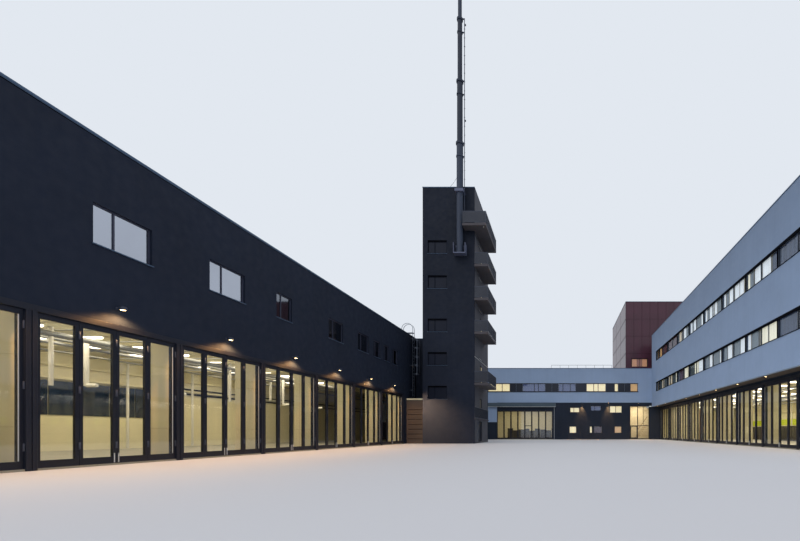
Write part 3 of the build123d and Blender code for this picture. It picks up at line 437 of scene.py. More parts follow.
class Recipe:
    """A material under construction: its nodes and the place on the object, in metres.

    A finish is kept in made_finishes, under the name that it is made with.
    """

    def __init__(self, name):
        self.material = bpy.data.materials.new(name)
        self.material.use_nodes = True
        made_finishes[name] = self.material
        self.tree = self.material.node_tree
        self.shader = self.tree.nodes["Principled BSDF"]
        self.place = self.add("TexCoord").outputs["Object"]
        self.parts = self.add("SeparateXYZ", {0: self.place}).outputs

    def add(self, kind, inputs=None, **settings):
        """Adds one node, with its settings, values and links."""
        node = self.tree.nodes.new("ShaderNode" + kind)
        for key, value in settings.items():
            setattr(node, key, value)
        for key, value in (inputs or {}).items():
            self.give(node.inputs[key], value)
        return node

    def give(self, socket, value):
        """Links a socket's value, or sets a number or colour."""
        if isinstance(value, bpy.types.NodeSocket):
            self.tree.links.new(value, socket)
        elif socket.type == "RGBA":
            socket.default_value = (*value[:3], 1.0)
        else:
            socket.default_value = value

    def maths(self, operation, first, second=0.0, third=0.0):
        """One arithmetic step."""
        node = self.add("Math", {0: first, 1: second, 2: third}, operation=operation)
        return node.outputs[0]

    def mix(self, share, first, second):
        """A colour between two colours."""
        node = self.add("Mix", {0: share, 6: first, 7: second}, data_type="RGBA")
        return node.outputs[2]

    def times(self, first, second):
        """One value by another."""
        return self.maths("MULTIPLY", first, second)

    def shaded(self, share, colour, low, high):
        """One colour from darker to lighter, as the share goes from 0 to 1."""
        return self.mix(share, tinted(colour, low), tinted(colour, high))

    def ranged(self, value, low, high, start=0.0, end=1.0):
        """A value from start to end, stretched to run from low to high."""
        return self.add("MapRange", {0: value, 1: start, 2: end, 3: low, 4: high}).outputs[0]

    def noise(self, scale, detail=3.0, stretch=(1.0, 1.0, 1.0)):
        """Cloudy noise from 0 to 1; the scale is waves in a metre."""
        place = self.add("Mapping", {0: self.place, 3: stretch}).outputs[0]
        node = self.add("TexNoise", {"Vector": place, "Scale": scale, "Detail": detail})
        return node.outputs[0]

    def above(self, axis, limit):
        """1 where the coordinate is over the limit, else 0."""
        return self.maths("GREATER_THAN", self.parts[axis], limit)

    def between(self, axis, low, high):
        """1 where the coordinate lies between two limits, else 0."""
        return self.times(self.above(axis, low), self.maths("LESS_THAN", self.parts[axis], high))

    def lines(self, axis, pitch, width, offset=0.0):
        """1 on thin lines at an even pitch along an axis, else 0."""
        moved = self.maths("ADD", self.parts[axis], offset)
        place = self.maths("FLOORED_MODULO", moved, pitch)
        return self.maths("LESS_THAN", place, width)

    def bump(self, height, strength, distance=0.01):
        """Raises the surface by a height from 0 to 1."""
        inputs = {"Height": height, "Strength": strength, "Distance": distance}
        node = self.add("Bump", inputs)
        self.give(self.shader.inputs["Normal"], node.outputs[0])

    def set(self, **values):
        """Sets or links shader inputs; underscores in a name stand for spaces."""
        for key, value in values.items():
            self.give(self.shader.inputs[key.replace("_", " ")], value)


def tinted(colour, factor):
    """A colour made lighter or darker."""
    return tuple(min(1.0, part * factor) for part in colour[:3])


def weathered(recipe, colour, spread, run_off=0.3):
    """A mottled colour with soft upright streaks from rain."""
    cloud = recipe.noise(0.9, 4.0)
    streak = recipe.noise(7.0, 2.0, (1.0, 1.0, 0.06))
    both = recipe.maths("MULTIPLY_ADD", streak, run_off, recipe.times(cloud, 0.7))
    ranged = recipe.ranged(both, 0.0, 1.0, 0.28, 0.72)
    return recipe.shaded(ranged, colour, 1 - spread, 1 + spread)


def painted_height_light(recipe, colour, foot, head, limits):
    """Painted light and shade: a colour scaled from foot at the lower limit of z to head at the
    upper one.
    """
    share = recipe.ranged(recipe.parts[2], foot, head, *limits)
    scaled = recipe.add("VectorMath", {0: colour, 3: share}, operation="SCALE")
    return scaled.outputs[0]


def plaster(name, colour, spread=0.12, inside=None, height_light=(1.0, 1.0)):
    """Trowelled outside render: fine grain, soft mottling; inside tells where a lining shows."""
    recipe = Recipe(name)
    # Painted light and shade: the render is drawn lighter or darker with height, by the factors
    # given
    outer = painted_height_light(recipe, weathered(recipe, colour, spread), *height_light, PALE_LIMITS)
    if inside:
        lining, share = inside(recipe)
        outer = recipe.mix(share, outer, lining)
    grain = recipe.noise(160.0, 2.0)
    trowel = recipe.noise(6.0, 3.0)
    height = recipe.maths("MULTIPLY_ADD", trowel, 0.6, grain)
    rough = recipe.ranged(trowel, 0.62, 0.8, 0.3, 0.7)
    recipe.set(Base_Color=outer, Roughness=rough, Specular_IOR_Level=0.2)
    recipe.bump(height, 0.22, 0.004)


def room_lining(recipe, cream):
    """Painted block walls of the rooms: courses of blocks with fine joints."""
    cloud = recipe.noise(2.0, 3.0)
    paint = recipe.shaded(cloud, cream, 0.9, 1.05)
    course = recipe.lines(2, 0.25, 0.006)
    return recipe.mix(recipe.times(course, 0.35), paint, tinted(cream, 0.55))


def lined(limits, cream):
    """Tells a wall's room side: limits holds (axis, limit, 1 beyond it or -1 short of it)."""

    def inside(recipe):
        share = 1.0
        for axis, limit, side in limits:
            beyond = recipe.maths("SUBTRACT", recipe.parts[axis], limit)
            beyond = recipe.times(beyond, side)
            share = recipe.times(recipe.maths("GREATER_THAN", beyond, 0.0), share)
        return room_lining(recipe, cream), share

    return inside


def concrete(name, colour, pitch=1.2):
    """Cast concrete: pores, cloudy stains and thin lift joints."""
    recipe = Recipe(name)
    base = weathered(recipe, colour, 0.16, 0.4)
    joint = recipe.lines(2, pitch, 0.008, 0.3)
    base = recipe.mix(recipe.times(joint, 0.5), base, tinted(colour, 0.45))
    cells = recipe.add("TexVoronoi", {"Vector": recipe.place, "Scale": 70.0}).outputs[0]
    pores = recipe.maths("LESS_THAN", cells, 0.16)
    height = recipe.maths("SUBTRACT", recipe.noise(40.0), recipe.times(pores, 0.8))
    recipe.set(Base_Color=base, Roughness=0.85)
    recipe.bump(height, 0.25, 0.004)


def painted(name, colour, roughness=0.45, metallic=0.0, spread=0.1):
    """Powder-coated metal: a fine orange-peel surface, dulled unevenly, edges a little worn."""
    recipe = Recipe(name)
    dull = recipe.noise(3.0, 4.0)
    base = recipe.shaded(dull, colour, 1 - spread, 1 + spread)
    edge = recipe.add("NewGeometry").outputs["Pointiness"]
    worn = recipe.ranged(edge, 0.0, 0.35, 0.53, 0.6)
    base = recipe.mix(worn, base, tinted(colour, 2.2))
    rough = recipe.ranged(dull, roughness - 0.08, roughness + 0.12)
    recipe.set(Base_Color=base, Roughness=rough, Metallic=metallic)
    recipe.bump(recipe.noise(220.0, 1.0), 0.06, 0.002)


def galvanised(name, colour):
    """Hot-dip zinc: cells of spangle, each a little lighter or duller than the next."""
    recipe = Recipe(name)
    cells = recipe.add("TexVoronoi", {"Vector": recipe.place, "Scale": 45.0})
    tone = recipe.add("SeparateColor", {0: cells.outputs["Color"]}).outputs[0]
    base = recipe.shaded(tone, colour, 0.8, 1.15)
    rough = recipe.ranged(tone, 0.35, 0.6)
    recipe.set(Base_Color=base, Roughness=rough, Metallic=0.75)
    recipe.bump(recipe.noise(30.0), 0.08, 0.002)


def roof_sheet(name, colour, cream):
    """Welded roof sheets above, painted concrete below: seams at 1 m, dust in the hollows."""
    recipe = Recipe(name)
    dust = recipe.noise(0.8, 5.0)
    base = recipe.shaded(dust, colour, 0.8, 1.35)
    seam = recipe.maths("MAXIMUM", recipe.lines(0, 1.0, 0.03), recipe.lines(1, 5.0, 0.03))
    base = recipe.mix(recipe.times(seam, 0.5), base, tinted(colour, 0.5))
    upward = recipe.add("SeparateXYZ", {0: recipe.add("NewGeometry").outputs["True Normal"]})
    roof = recipe.maths("GREATER_THAN", upward.outputs[2], 0.2)
    base = recipe.mix(roof, cream, base)
    recipe.set(Base_Color=base, Roughness=0.8)
    recipe.bump(recipe.maths("ADD", seam, recipe.noise(60.0)), 0.2, 0.004)


def floor_and_ceiling(name, floor_colour, ceiling_colour, soffit_colour, soffit=None):
    """Sealed hall floor at the ground, painted slabs above, and boards where a soffit shows."""
    recipe = Recipe(name)
    wear = recipe.noise(1.4, 5.0)
    floor = recipe.shaded(wear, floor_colour, 0.8, 1.12)
    joint = recipe.maths("MAXIMUM", recipe.lines(0, 1.1, 0.006), recipe.lines(1, 1.1, 0.006))
    floor = recipe.mix(recipe.times(joint, 0.6), floor, tinted(floor_colour, 0.4))
    cloud = recipe.noise(1.0, 3.0)
    ceiling = recipe.shaded(cloud, ceiling_colour, 0.92, 1.04)
    base = recipe.mix(recipe.above(2, 0.1), floor, ceiling)
    if soffit:
        share = recipe.times(recipe.between(0, *soffit[0]), recipe.between(2, *soffit[1]))
        board = recipe.lines(1, 0.55, 0.008)
        panel = recipe.mix(recipe.noise(0.7), tinted(soffit_colour, 0.85), soffit_colour)
        panel = recipe.mix(board, panel, tinted(soffit_colour, 0.3))
        base = recipe.mix(share, base, panel)
    rough = recipe.mix(recipe.above(2, 0.1), (0.35, 0.35, 0.35), (0.8, 0.8, 0.8))
    recipe.set(Base_Color=base, Roughness=rough)
    recipe.bump(recipe.noise(50.0), 0.08, 0.003)


def glazing(name, tint, clear, dark_above=None, dark_alpha=0.85):
    """Window glass: mostly clear, with a faint uneven sheen; upper windows may be darker."""
    recipe = Recipe(name)
    haze = recipe.noise(0.6, 3.0)
    rough = recipe.ranged(haze, 0.02, 0.07)
    film = recipe.shaded(haze, tint, 0.85, 1.1)
    if dark_above is not None:
        film = recipe.mix(recipe.above(1, -12.0), film, tinted(tint, 0.45))
    recipe.set(Base_Color=film, Roughness=rough, Metallic=1.0)
    if dark_above is None:
        alpha = recipe.ranged(haze, clear - 0.02, clear + 0.03)
    else:
        alpha = recipe.ranged(recipe.above(2, dark_above), clear, dark_alpha)
    recipe.set(Alpha=alpha)
    recipe.material.surface_render_method = "BLENDED"


def tower_lights(name, dark, lit):
    """Dark glass on the tower's front; the balcony doors' glass glows with painted light for a lit
    stair behind it.
    """
    recipe = Recipe(name)
    haze = recipe.noise(1.2, 3.0)
    side = recipe.above(0, TOWER_RIGHT - 0.2)
    door = recipe.between(1, *SIDE_DOOR_Y)
    stair = recipe.times(door, recipe.above(2, FRENCH_FLOOR + RAIL_HEIGHT))
    strip = recipe.times(recipe.between(1, -1.24, -1.09), recipe.above(2, FRENCH_FLOOR))
    # Painted light: the glass glows where a lit stair and a lit strip would show through it
    glow = recipe.times(side, recipe.maths("MULTIPLY_ADD", stair, 0.16, strip))
    glow = recipe.times(glow, 0.5)
    base = recipe.shaded(haze, dark, 0.8, 1.3)
    recipe.set(
        Base_Color=base,
        Roughness=0.45,
        Specular_IOR_Level=0.15,
        Emission_Color=recipe.mix(haze, tinted(lit, 0.7), lit),
        Emission_Strength=glow,
    )


def mirror_glass(name, colour):
    """Dark glazing indoors that mirrors the ceiling lamps, wavy by a slow noise."""
    recipe = Recipe(name)
    cloud = recipe.noise(1.4, 3.0)
    base = recipe.shaded(cloud, colour, 0.6, 1.5)
    recipe.set(Base_Color=base, Roughness=0.05, Specular_IOR_Level=0.9)
    recipe.bump(recipe.noise(3.0, 1.0), 0.03, 0.01)


def glowing(name, colour, strength, shade=0.5):
    """Glowing cover, softer towards its mottled parts: a lamp's lens, or painted light on a blind or
    room panel.
    """
    recipe = Recipe(name)
    cloud = recipe.noise(3.0, 3.0)
    glow = recipe.mix(cloud, tinted(colour, shade), colour)
    recipe.set(Base_Color=glow, Roughness=0.5, Emission_Color=glow, Emission_Strength=strength)


def cloth(name, colour, strength, shade):
    """Hanging cloth that glows with painted light as if lit from behind: its folds are painted
    streaks of light and shade.
    """
    recipe = Recipe(name)
    fold = recipe.noise(11.0, 2.0, (1.0, 1.0, 0.02))
    ranged = recipe.ranged(fold, 0.0, 1.0, 0.35, 0.65)
    glow = recipe.mix(ranged, tinted(colour, shade), colour)
    recipe.set(Base_Color=glow, Roughness=0.9, Emission_Color=glow, Emission_Strength=strength)


def matt(name, colour):
    """Black without any sheen: rubber and felt in deep joints, and strips of painted shade under
    copings and window heads.
    """
    recipe = Recipe(name)
    base = recipe.shaded(recipe.noise(5.0), colour, 0.6, 1.3)
    recipe.set(Base_Color=base, Roughness=0.95, Specular_IOR_Level=0.05)
    recipe.bump(recipe.noise(120.0), 0.1, 0.002)


def boarded(name, colour, joint, pitch):
    """Painted panels on the room piers: wide boards with thin dark joints, each a little aged."""
    recipe = Recipe(name)
    cloud = recipe.noise(1.6, 4.0)
    paint = recipe.shaded(cloud, colour, 0.88, 1.04)
    seam = recipe.maths("MAXIMUM", recipe.lines(0, pitch, 0.008), recipe.lines(2, 1.02, 0.005, 0.4))
    base = recipe.mix(recipe.times(seam, 0.7), paint, joint)
    recipe.set(Base_Color=base, Roughness=0.6, Specular_IOR_Level=0.3)
    recipe.bump(recipe.maths("SUBTRACT", recipe.noise(60.0), seam), 0.15, 0.004)


def corrugated(name, colour, pitch):
    """Ribbed sheet: the height follows the sine of the way along x over the pitch; its colour
    follows the ribs too, as painted light on the crests and painted shade in the troughs.
    """
    recipe = Recipe(name)
    turn = recipe.times(recipe.parts[0], 2 * math.pi / pitch)
    rib = recipe.maths("MULTIPLY_ADD", recipe.maths("SINE", turn), 0.5, 0.5)
    cloud = recipe.noise(1.0, 3.0)
    # Painted light and shade: the colour is lighter on the ribs' crests and darker in their troughs
    tone = recipe.maths("MULTIPLY_ADD", cloud, 0.4, recipe.times(rib, 0.6))
    base = recipe.shaded(tone, colour, 0.6, 1.3)
    recipe.set(Base_Color=base, Roughness=0.45, Metallic=0.4)
    recipe.bump(rib, 0.5, 0.02)


def cassette(name, colour):
    """Coated cladding cassettes: each a shade of its own, with faint oil-canning."""
    recipe = Recipe(name)
    broad = recipe.add("TexWhiteNoise", noise_dimensions="3D")
    size = {0: recipe.place, 1: (0.6, 0.6, 1.0)}
    recipe.give(broad.inputs[0], recipe.add("VectorMath", size, operation="SNAP").outputs[0])
    tone = recipe.maths("MULTIPLY_ADD", broad.outputs[0], 0.5, recipe.noise(1.2, 3.0))
    base = recipe.shaded(recipe.times(tone, 0.7), colour, 0.8, 1.25)
    recipe.set(Base_Color=base, Roughness=0.42, Metallic=0.2, Coat_Weight=0.4, Coat_Roughness=0.2)
    recipe.bump(recipe.noise(2.5, 1.0), 0.08, 0.02)


def banded_wall(name, colours, cream):
    """The back wing's yard front: pale render over a dark ground storey, cream indoors."""
    pale, dark = colours
    recipe = Recipe(name)
    # Painted light and shade: the upper render is drawn brighter low down and darker at the top
    upper = painted_height_light(recipe, weathered(recipe, pale, 0.06), *PALE_HEIGHT_LIGHT, PALE_LIMITS)
    lower = weathered(recipe, dark, 0.15)
    strip = recipe.maths("LESS_THAN", recipe.parts[0], BACK_DOORS[0])
    lower = recipe.mix(recipe.times(strip, recipe.above(2, 1.3)), lower, upper)
    foot = recipe.times(strip, recipe.between(2, -1.0, 1.3))
    lower = recipe.mix(foot, lower, srgb(38, 47, 60))
    outer = recipe.mix(recipe.above(2, 2.76), lower, upper)
    behind = recipe.above(1, BACK_FACE + WALL)
    indoors = recipe.times(behind, recipe.between(2, -1, LOW_CEILING))
    outer = recipe.mix(indoors, outer, room_lining(recipe, cream))
    recipe.set(Base_Color=outer, Roughness=0.72, Specular_IOR_Level=0.2)
    recipe.bump(recipe.noise(160.0, 2.0), 0.2, 0.004)


def mix_finishes(colours):
    """Makes every material once, from the colours in the panel."""
    cream, pale, ground = colours.cream, colours.pale_render, colours.ground_render
    low, high = (2, LOW_CEILING, -1), (2, HIGH_CEILING, -1)
    yard = (1, BACK_FACE - 0.001, -1)
    sides = {
        "left_front": [(0, LEFT_FACE - WALL, -1), low],
        "left_outer": [(0, LEFT_OUTER + WALL, 1), low],
        "left_end": [(1, -18.326, 1), low],
    }
    for key, limits in sides.items():
        plaster(f"dark_render_{key}", colours.dark_render, 0.14, lined(limits, cream))
    # Painted shade: the infill and the tower's walls are drawn darker towards the top
    plaster("dark_render_none", colours.dark_render, 0.14, height_light=(1.0, 0.7))
    sides = {
        "facade": [(0, RIGHT_FACE + WALL, 1), high, yard],
        "outer": [(0, RIGHT_OUTER - WALL, -1), high, yard],
        "end": [(1, -11.451, 1), high, yard],
        "rear": [(1, BACK_REAR - WALL, -1), (0, LEFT_OUTER + WALL, 1), low],
    }
    # Painted light and shade: the pale render is drawn brighter at its foot and darker at its top
    for key, limits in sides.items():
        plaster(f"pale_render_{key}", pale, 0.06, lined(limits, cream), PALE_HEIGHT_LIGHT)
    plaster("ground_render", ground, 0.15, lined([(0, RIGHT_DOOR + WALL, 1)], cream))
    subframe = tinted(colours.maroon, 0.35)
    plaster("maroon_subframe_and_lining", subframe, 0.1, lined([(2, 5.0, -1)], cream))
    painted("maroon_subframe", subframe, 0.6)
    cassette("maroon_cassettes", colours.maroon)
    banded_wall("back_front_render", (pale, ground), cream)
    concrete("tower_concrete", colours.concrete, 1.625)
    concrete("slab_concrete", colours.slab_concrete, 0.9)
    boarded("cream_pier_panels", tinted(cream, 0.74), tinted(cream, 0.25), 0.42)
    plaster("cream_beam_paint", cream, 0.05)
    roof_sheet("roof_sheet_and_soffit", colours.roof, cream)
    overhang = ((RIGHT_FACE, RIGHT_DOOR + 0.02), (2.4, 2.5))
    for name, soffit in (("floors_and_ceilings", None), ("floors_ceilings_and_soffit", overhang)):
        floor_and_ceiling(name, colours.hall_floor, tinted(cream, 1.05), colours.soffit, soffit)
    painted("door_metal", colours.door_metal, 0.4, 0.3)
    painted("window_metal", colours.window_metal, 0.38, 0.4)
    painted("dark_metal", colours.dark_metal, 0.5, 0.3)
    painted("gate_slats", colours.gate, 0.6, 0.1, 0.2)
    painted("coping_metal", colours.coping, 0.4, 0.5)
    painted("rail_sheet", colours.rail_sheet, 0.55, 0.2, 0.14)
    painted("mast_coat", colours.mast, 0.65, 0.1, 0.16)
    painted("mast_low_coat", srgb(40, 51, 70), 0.6, 0.1, 0.16)
    painted("mast_foot_coat", srgb(72, 78, 98), 0.6, 0.1, 0.16)
    painted("pale_metal", srgb(150, 152, 150), 0.4, 0.3)
    painted("ribbon_metal", srgb(50, 58, 70), 0.6, 0.1)
    painted("sash_metal", srgb(54, 58, 76), 0.5, 0.2)
    painted("edge_gasket", (0.3, 0.31, 0.31), 0.6)
    painted("lime_stripe", srgb(170, 190, 30), 0.7)
    painted("locker_paint", srgb(46, 44, 40), 0.5, 0.2, 0.3)
    painted("screen_board", srgb(112, 78, 44), 0.6, 0.0, 0.3)
    painted("white_pipe", (0.7, 0.69, 0.6), 0.5)
    corrugated("fascia_sheet", srgb(84, 100, 112), 0.06)
    # A black that is partly painted shade: the strips under the coping and the window heads stand
    # for their shadows
    matt("black_trim_and_painted_shade", srgb(10, 12, 19))
    matt("tower_frame", srgb(19, 24, 36))
    galvanised("zinc_coat", colours.zinc)
    galvanised("ladder_zinc", srgb(100, 108, 122))
    galvanised("bright_steel", (0.62, 0.64, 0.66))
    galvanised("duct_steel", (0.3, 0.31, 0.3))
    mirror_glass("inner_glass", srgb(30, 44, 64))
    glazing("hall_glass", (0.5, 0.53, 0.6), 0.1, 3.2, 0.86)
    glazing("clear_glass", (0.4, 0.44, 0.5), 0.14)
    tower_lights("tower_lights", srgb(22, 28, 42), cream)
    # Glowing surfaces: the lamp lens and ceiling tube are lamps; the rest is painted light for lit
    # rooms, blinds and a stair behind glass
    glowing("red_block_window", srgb(196, 146, 112), 0.62, 0.85)
    glowing("red_block_window_dark", srgb(150, 104, 84), 0.5, 0.85)
    glowing("stair_glow", srgb(214, 200, 168), 0.55, 0.6)
    glowing("lamp_lens", colours.lamp, 14.0, 0.9)
    glowing("ceiling_tube", (1.0, 0.93, 0.76), 5.0, 0.9)
    glowing("grey_blind", srgb(88, 102, 148), 0.28, 0.8)
    glowing("warm_room", srgb(250, 234, 186), 0.9, 0.8)
    glowing("ochre_room", srgb(214, 172, 112), 0.7, 0.8)
    glowing("plum_room", srgb(72, 40, 44), 0.4, 0.7)
    glowing("green_room", srgb(60, 66, 50), 0.35, 0.6)
    # Painted light: curtains that glow as if lit from behind
    cloth("white_curtain", srgb(226, 234, 238), 0.62, 0.86)
    cloth("cream_curtain", srgb(238, 236, 214), 0.66, 0.88)
    cloth("grey_curtain", srgb(112, 126, 134), 0.42, 0.74)
    cloth("dim_curtain", srgb(72, 86, 112), 0.26, 0.6)


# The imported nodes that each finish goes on
NODE_FINISHES = {
    "dark_render_left_front": "left_front_wall",
    "dark_render_left_outer": "left_outer_wall",
    "dark_render_left_end": "left_end_wall",
    "floors_and_ceilings": "left_floors back_floors",
    "roof_sheet_and_soffit": "left_roof infill_roof back_roof red_floors right_roof",
    "door_metal": (
        "left_folding_doors back_folding_doors right_folding_doors entrance_frame entrance_door"
    ),
    "sash_metal": "left_windows",
    "hall_glass": "left_glass",
    "ladder_zinc": "roof_ladder",
    "gate_slats": "infill_gate",
    "dark_render_none": "infill_wall tower_front_wall tower_rear_walls",
    "tower_concrete": "tower_side_wall tower_side_front_pier tower_side_rear_pier",
    "slab_concrete": "tower_floors balcony_slabs",
    "tower_frame": "tower_windows",
    "tower_lights": "tower_glass",
    "dark_metal": "balcony_rails tower_door wall_lamps",
    "mast_foot_coat": "mast_brackets",
    "mast_low_coat": "mast_section_1",
    "mast_coat": "mast_section_2 mast_section_3 mast_section_4 mast_conduit",
    "back_front_render": "back_front_wall back_wall_over_entrance entrance_side_walls",
    "pale_render_rear": "back_rear_walls",
    "window_metal": "back_windows red_windows",
    "clear_glass": "back_glass entrance_door_glass red_glass right_glass",
    "fascia_sheet": "door_fascia",
    "zinc_coat": "roof_guardrail",
    "maroon_subframe_and_lining": "red_front_wall",
    "maroon_subframe": "red_rear_walls",
    "pale_render_facade": "right_facade",
    "ground_render": "right_ground_wall",
    "pale_render_outer": "right_outer_wall",
    "pale_render_end": "right_end_wall",
    "floors_ceilings_and_soffit": "right_floors",
    "ribbon_metal": "right_windows",
    "cream_pier_panels": "interior_piers",
    "coping_metal": "parapet_copings",
}


def colour_setting(name, description, default):
    """A colour that the panel shows."""
    return FloatVectorProperty(
        name=name, description=description, subtype="COLOR", size=3, min=0, max=1, default=default
    )


class StationColours(PropertyGroup):
    """Colours of the station's finishes."""

    dark_render: colour_setting("Dark render", "Hall and tower walls", srgb(27, 35, 51))
    pale_render: colour_setting("Pale render", "Right and back wings", srgb(133, 152, 178))
    ground_render: colour_setting("Ground render", "Dark ground storey", srgb(36, 44, 58))
    maroon: colour_setting("Maroon", "Cladding of the rear block", srgb(64, 18, 40))
    concrete: colour_setting("Concrete", "The tower's balcony side", srgb(74, 75, 82))
    slab_concrete: colour_setting("Slab concrete", "Balcony slabs", srgb(72, 69, 74))
    cream: colour_setting("Cream", "Painted walls indoors", srgb(226, 219, 184))
    hall_floor: colour_setting("Hall floor", "Sealed floor indoors", srgb(150, 146, 130))
    soffit: colour_setting("Soffit", "Boards under the overhang", srgb(82, 72, 62))
    roof: colour_setting("Roof", "Roof sheets", srgb(86, 90, 94))
    door_metal: colour_setting("Door metal", "Folding door frames", srgb(19, 22, 34))
    window_metal: colour_setting("Window metal", "Window frames", srgb(34, 38, 48))
    dark_metal: colour_setting("Dark metal", "Rails and small fittings", srgb(52, 58, 72))
    rail_sheet: colour_setting("Rail sheet", "Sheets of the balconies", srgb(46, 50, 60))
    gate: colour_setting("Gate", "Slats beside the tower", srgb(78, 68, 62))
    coping: colour_setting("Coping", "Metal along the parapets", srgb(58, 76, 98))
    mast: colour_setting("Mast", "Mast tubes and brackets", srgb(31, 40, 56))
    zinc: colour_setting("Zinc", "Galvanised steel", srgb(120, 128, 134))
    lamp: colour_setting("Lamp", "Lenses of the outside lamps", srgb(255, 214, 150))


def size_setting(name, description, default, unit="LENGTH"):
    """A number that the panel shows."""
    return FloatProperty(name=name, description=description, default=default, unit=unit)


class StationSizes(PropertyGroup):
    """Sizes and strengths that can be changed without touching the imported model."""

    chamfer: size_setting("Edge", "Cut on small metal edges", 0.003)
    baluster_pitch: size_setting("Baluster pitch", "Between rail bars", 0.036)
    panel_width: size_setting("Panel width", "Maroon cassette width", 0.62)
    side_panel: size_setting("Side panel", "Cassette width on the short sides", 2.77)
    panel_height: size_setting("Panel height", "Maroon cassette height", 1.36)
    panel_depth: size_setting("Panel depth", "Maroon cassettes stand out", 0.012)
    hall_power: size_setting("Hall light", "Watts of one bay's ceiling light", 60.0, "NONE")
    lamp_power: size_setting("Wall lamp", "Watts of one outside lamp", 9.0, "NONE")
    foot_wash: size_setting("Foot wash", "Watts of the tower foot's warm light", 800.0, "NONE")


class StationView(PropertyGroup):
    """The camera and the even light."""

    eye: FloatVectorProperty(
        name="Eye",
        description="Camera place",
        size=3,
        subtype="TRANSLATION",
        unit="LENGTH",
        default=(0.0, -21.875, 0.55),
    )
    lens: size_setting("Lens", "Focal length in millimetres", 18.09, "NONE")
    shift_x: size_setting("Shift X", "Sideways lens shift", -0.203, "NONE")
    shift_y: size_setting("Shift Y", "Upward lens shift", 0.202, "NONE")
    sky: size_setting("Sky light", "Strength of the even light", 0.8, "NONE")
    sun: size_setting("Soft key", "Strength of the broad key", 0.7, "NONE")


class STATION_OT_stage(Operator):
    """Pale floor, even light and the camera."""

    bl_idname = "station.stage"
    bl_label = "Stage"

    def execute(self, context):
        view = context.scene.station_view
        lens = bpy.data.cameras.new("yard_camera")
        lens.sensor_width = 36.0
        lens.lens = view.lens
        lens.shift_x = view.shift_x
        lens.shift_y = view.shift_y
        lens.clip_start = 0.02
        lens.clip_end = 500.0
        camera = bpy.data.objects.new("yard_camera", lens)
        camera.location = view.eye
        camera.rotation_euler = (math.radians(90.0), 0.0, 0.0)
        context.scene.collection.objects.link(camera)
        context.scene.camera = camera
        context.scene.view_settings.view_transform = "Standard"

        world = bpy.data.worlds.new("even_light")
        world.use_nodes = True
        nodes, links = world.node_tree.nodes, world.node_tree.links
        path = nodes.new("ShaderNodeLightPath").outputs
        seen = path["Is Camera Ray"]
        for kind in ("Is Glossy Ray", "Is Transmission Ray"):
            either = nodes.new("ShaderNodeMath")
            either.operation = "MAXIMUM"
            links.new(seen, either.inputs[0])
            links.new(path[kind], either.inputs[1])
            seen = either.outputs[0]
        colour = nodes.new("ShaderNodeMix")
        colour.data_type = "RGBA"
        colour.inputs[6].default_value = (view.sky * 0.92, view.sky * 0.97, view.sky * 1.08, 1.0)
        colour.inputs[7].default_value = (*srgb(226, 232, 240), 1.0)
        links.new(seen, colour.inputs[0])
        links.new(colour.outputs[2], nodes["Background"].inputs[0])
        context.scene.world = world
        turn = [math.radians(angle) for angle in (42.0, -18.0, -12.0)]
        soft = math.radians(50.0)
        lamp("broad_key", "SUN", (0, 0, 0), view.sun, (1.0, 0.95, 0.88), turn, angle=soft)

        recipe = Recipe("pale_floor")
        cloud = recipe.noise(0.15, 2.0)
        pale = recipe.mix(cloud, (0.6, 0.6, 0.61), (0.64, 0.64, 0.65))
        recipe.set(Base_Color=pale, Roughness=0.8)
        turn = 2 * math.pi * np.arange(64) / 64
        rim = places(FLOOR_REACH * np.cos(turn), FLOOR_REACH * np.sin(turn), -0.001)
        mesh = bpy.data.meshes.new("stage_floor")
        mesh.from_pydata(rim.tolist(), [], [list(range(64))])
        mesh.materials.append(recipe.material)
        floor = bpy.data.objects.new("stage_floor", mesh)
        context.scene.collection.objects.link(floor)
        return {"FINISHED"}


class STATION_OT_finishes(Operator):
    """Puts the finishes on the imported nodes."""

    bl_idname = "station.finishes"
    bl_label = "Finishes"

    def execute(self, context):
        mix_finishes(context.scene.station_colours)
        for finish, names in NODE_FINISHES.items():
            for name in names.split():
                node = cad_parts[name]
                if not node.material_slots:
                    raise RuntimeError(f"{name} has no material slot")
                for place in node.material_slots:
                    place.material = made_finishes[finish]
        bare = set(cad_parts) - set(" ".join(NODE_FINISHES.values()).split())
        if bare:
            raise RuntimeError(f"no finish goes on {sorted(bare)}")
        return {"FINISHED"}


def lamp(name, kind, place, power, colour, turn=(0.0, 0.0, 0.0), lit=None, **settings):
    """Adds a light; lit is the collection that it reaches, where it doesn't reach everything."""
    light = bpy.data.lights.new(name, kind)
    light.energy = power
    light.color = colour
    for key, value in settings.items():
        setattr(light, key, value)
    made = bpy.data.objects.new(name, light)
    made.location = place
    made.rotation_euler = turn
    made.light_linking.receiver_collection = lit
    bpy.context.scene.collection.objects.link(made)


def area_light(name, place, size, power, colour, turn=(0.0, 0.0, 0.0)):
    """A rectangular light that faces down unless it is turned."""
    wide, deep = size
    lamp(name, "AREA", place, power, colour, turn, shape="RECTANGLE", size=wide, size_y=deep)


def spot_light(name, place, power, colour, angle, blend, radius, lit, turn=(0.0, 0.0, 0.0)):
    """A cone of light that faces down unless it is turned; angle is its spread in degrees."""
    cone = {"spot_size": math.radians(angle), "spot_blend": blend, "shadow_soft_size": radius}
    lamp(name, "SPOT", place, power, colour, turn, lit, **cone)


def linked(name, node):
    """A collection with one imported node, for a light's reach."""
    made = bpy.data.collections.new(name)
    made.objects.link(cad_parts[node])
    return made


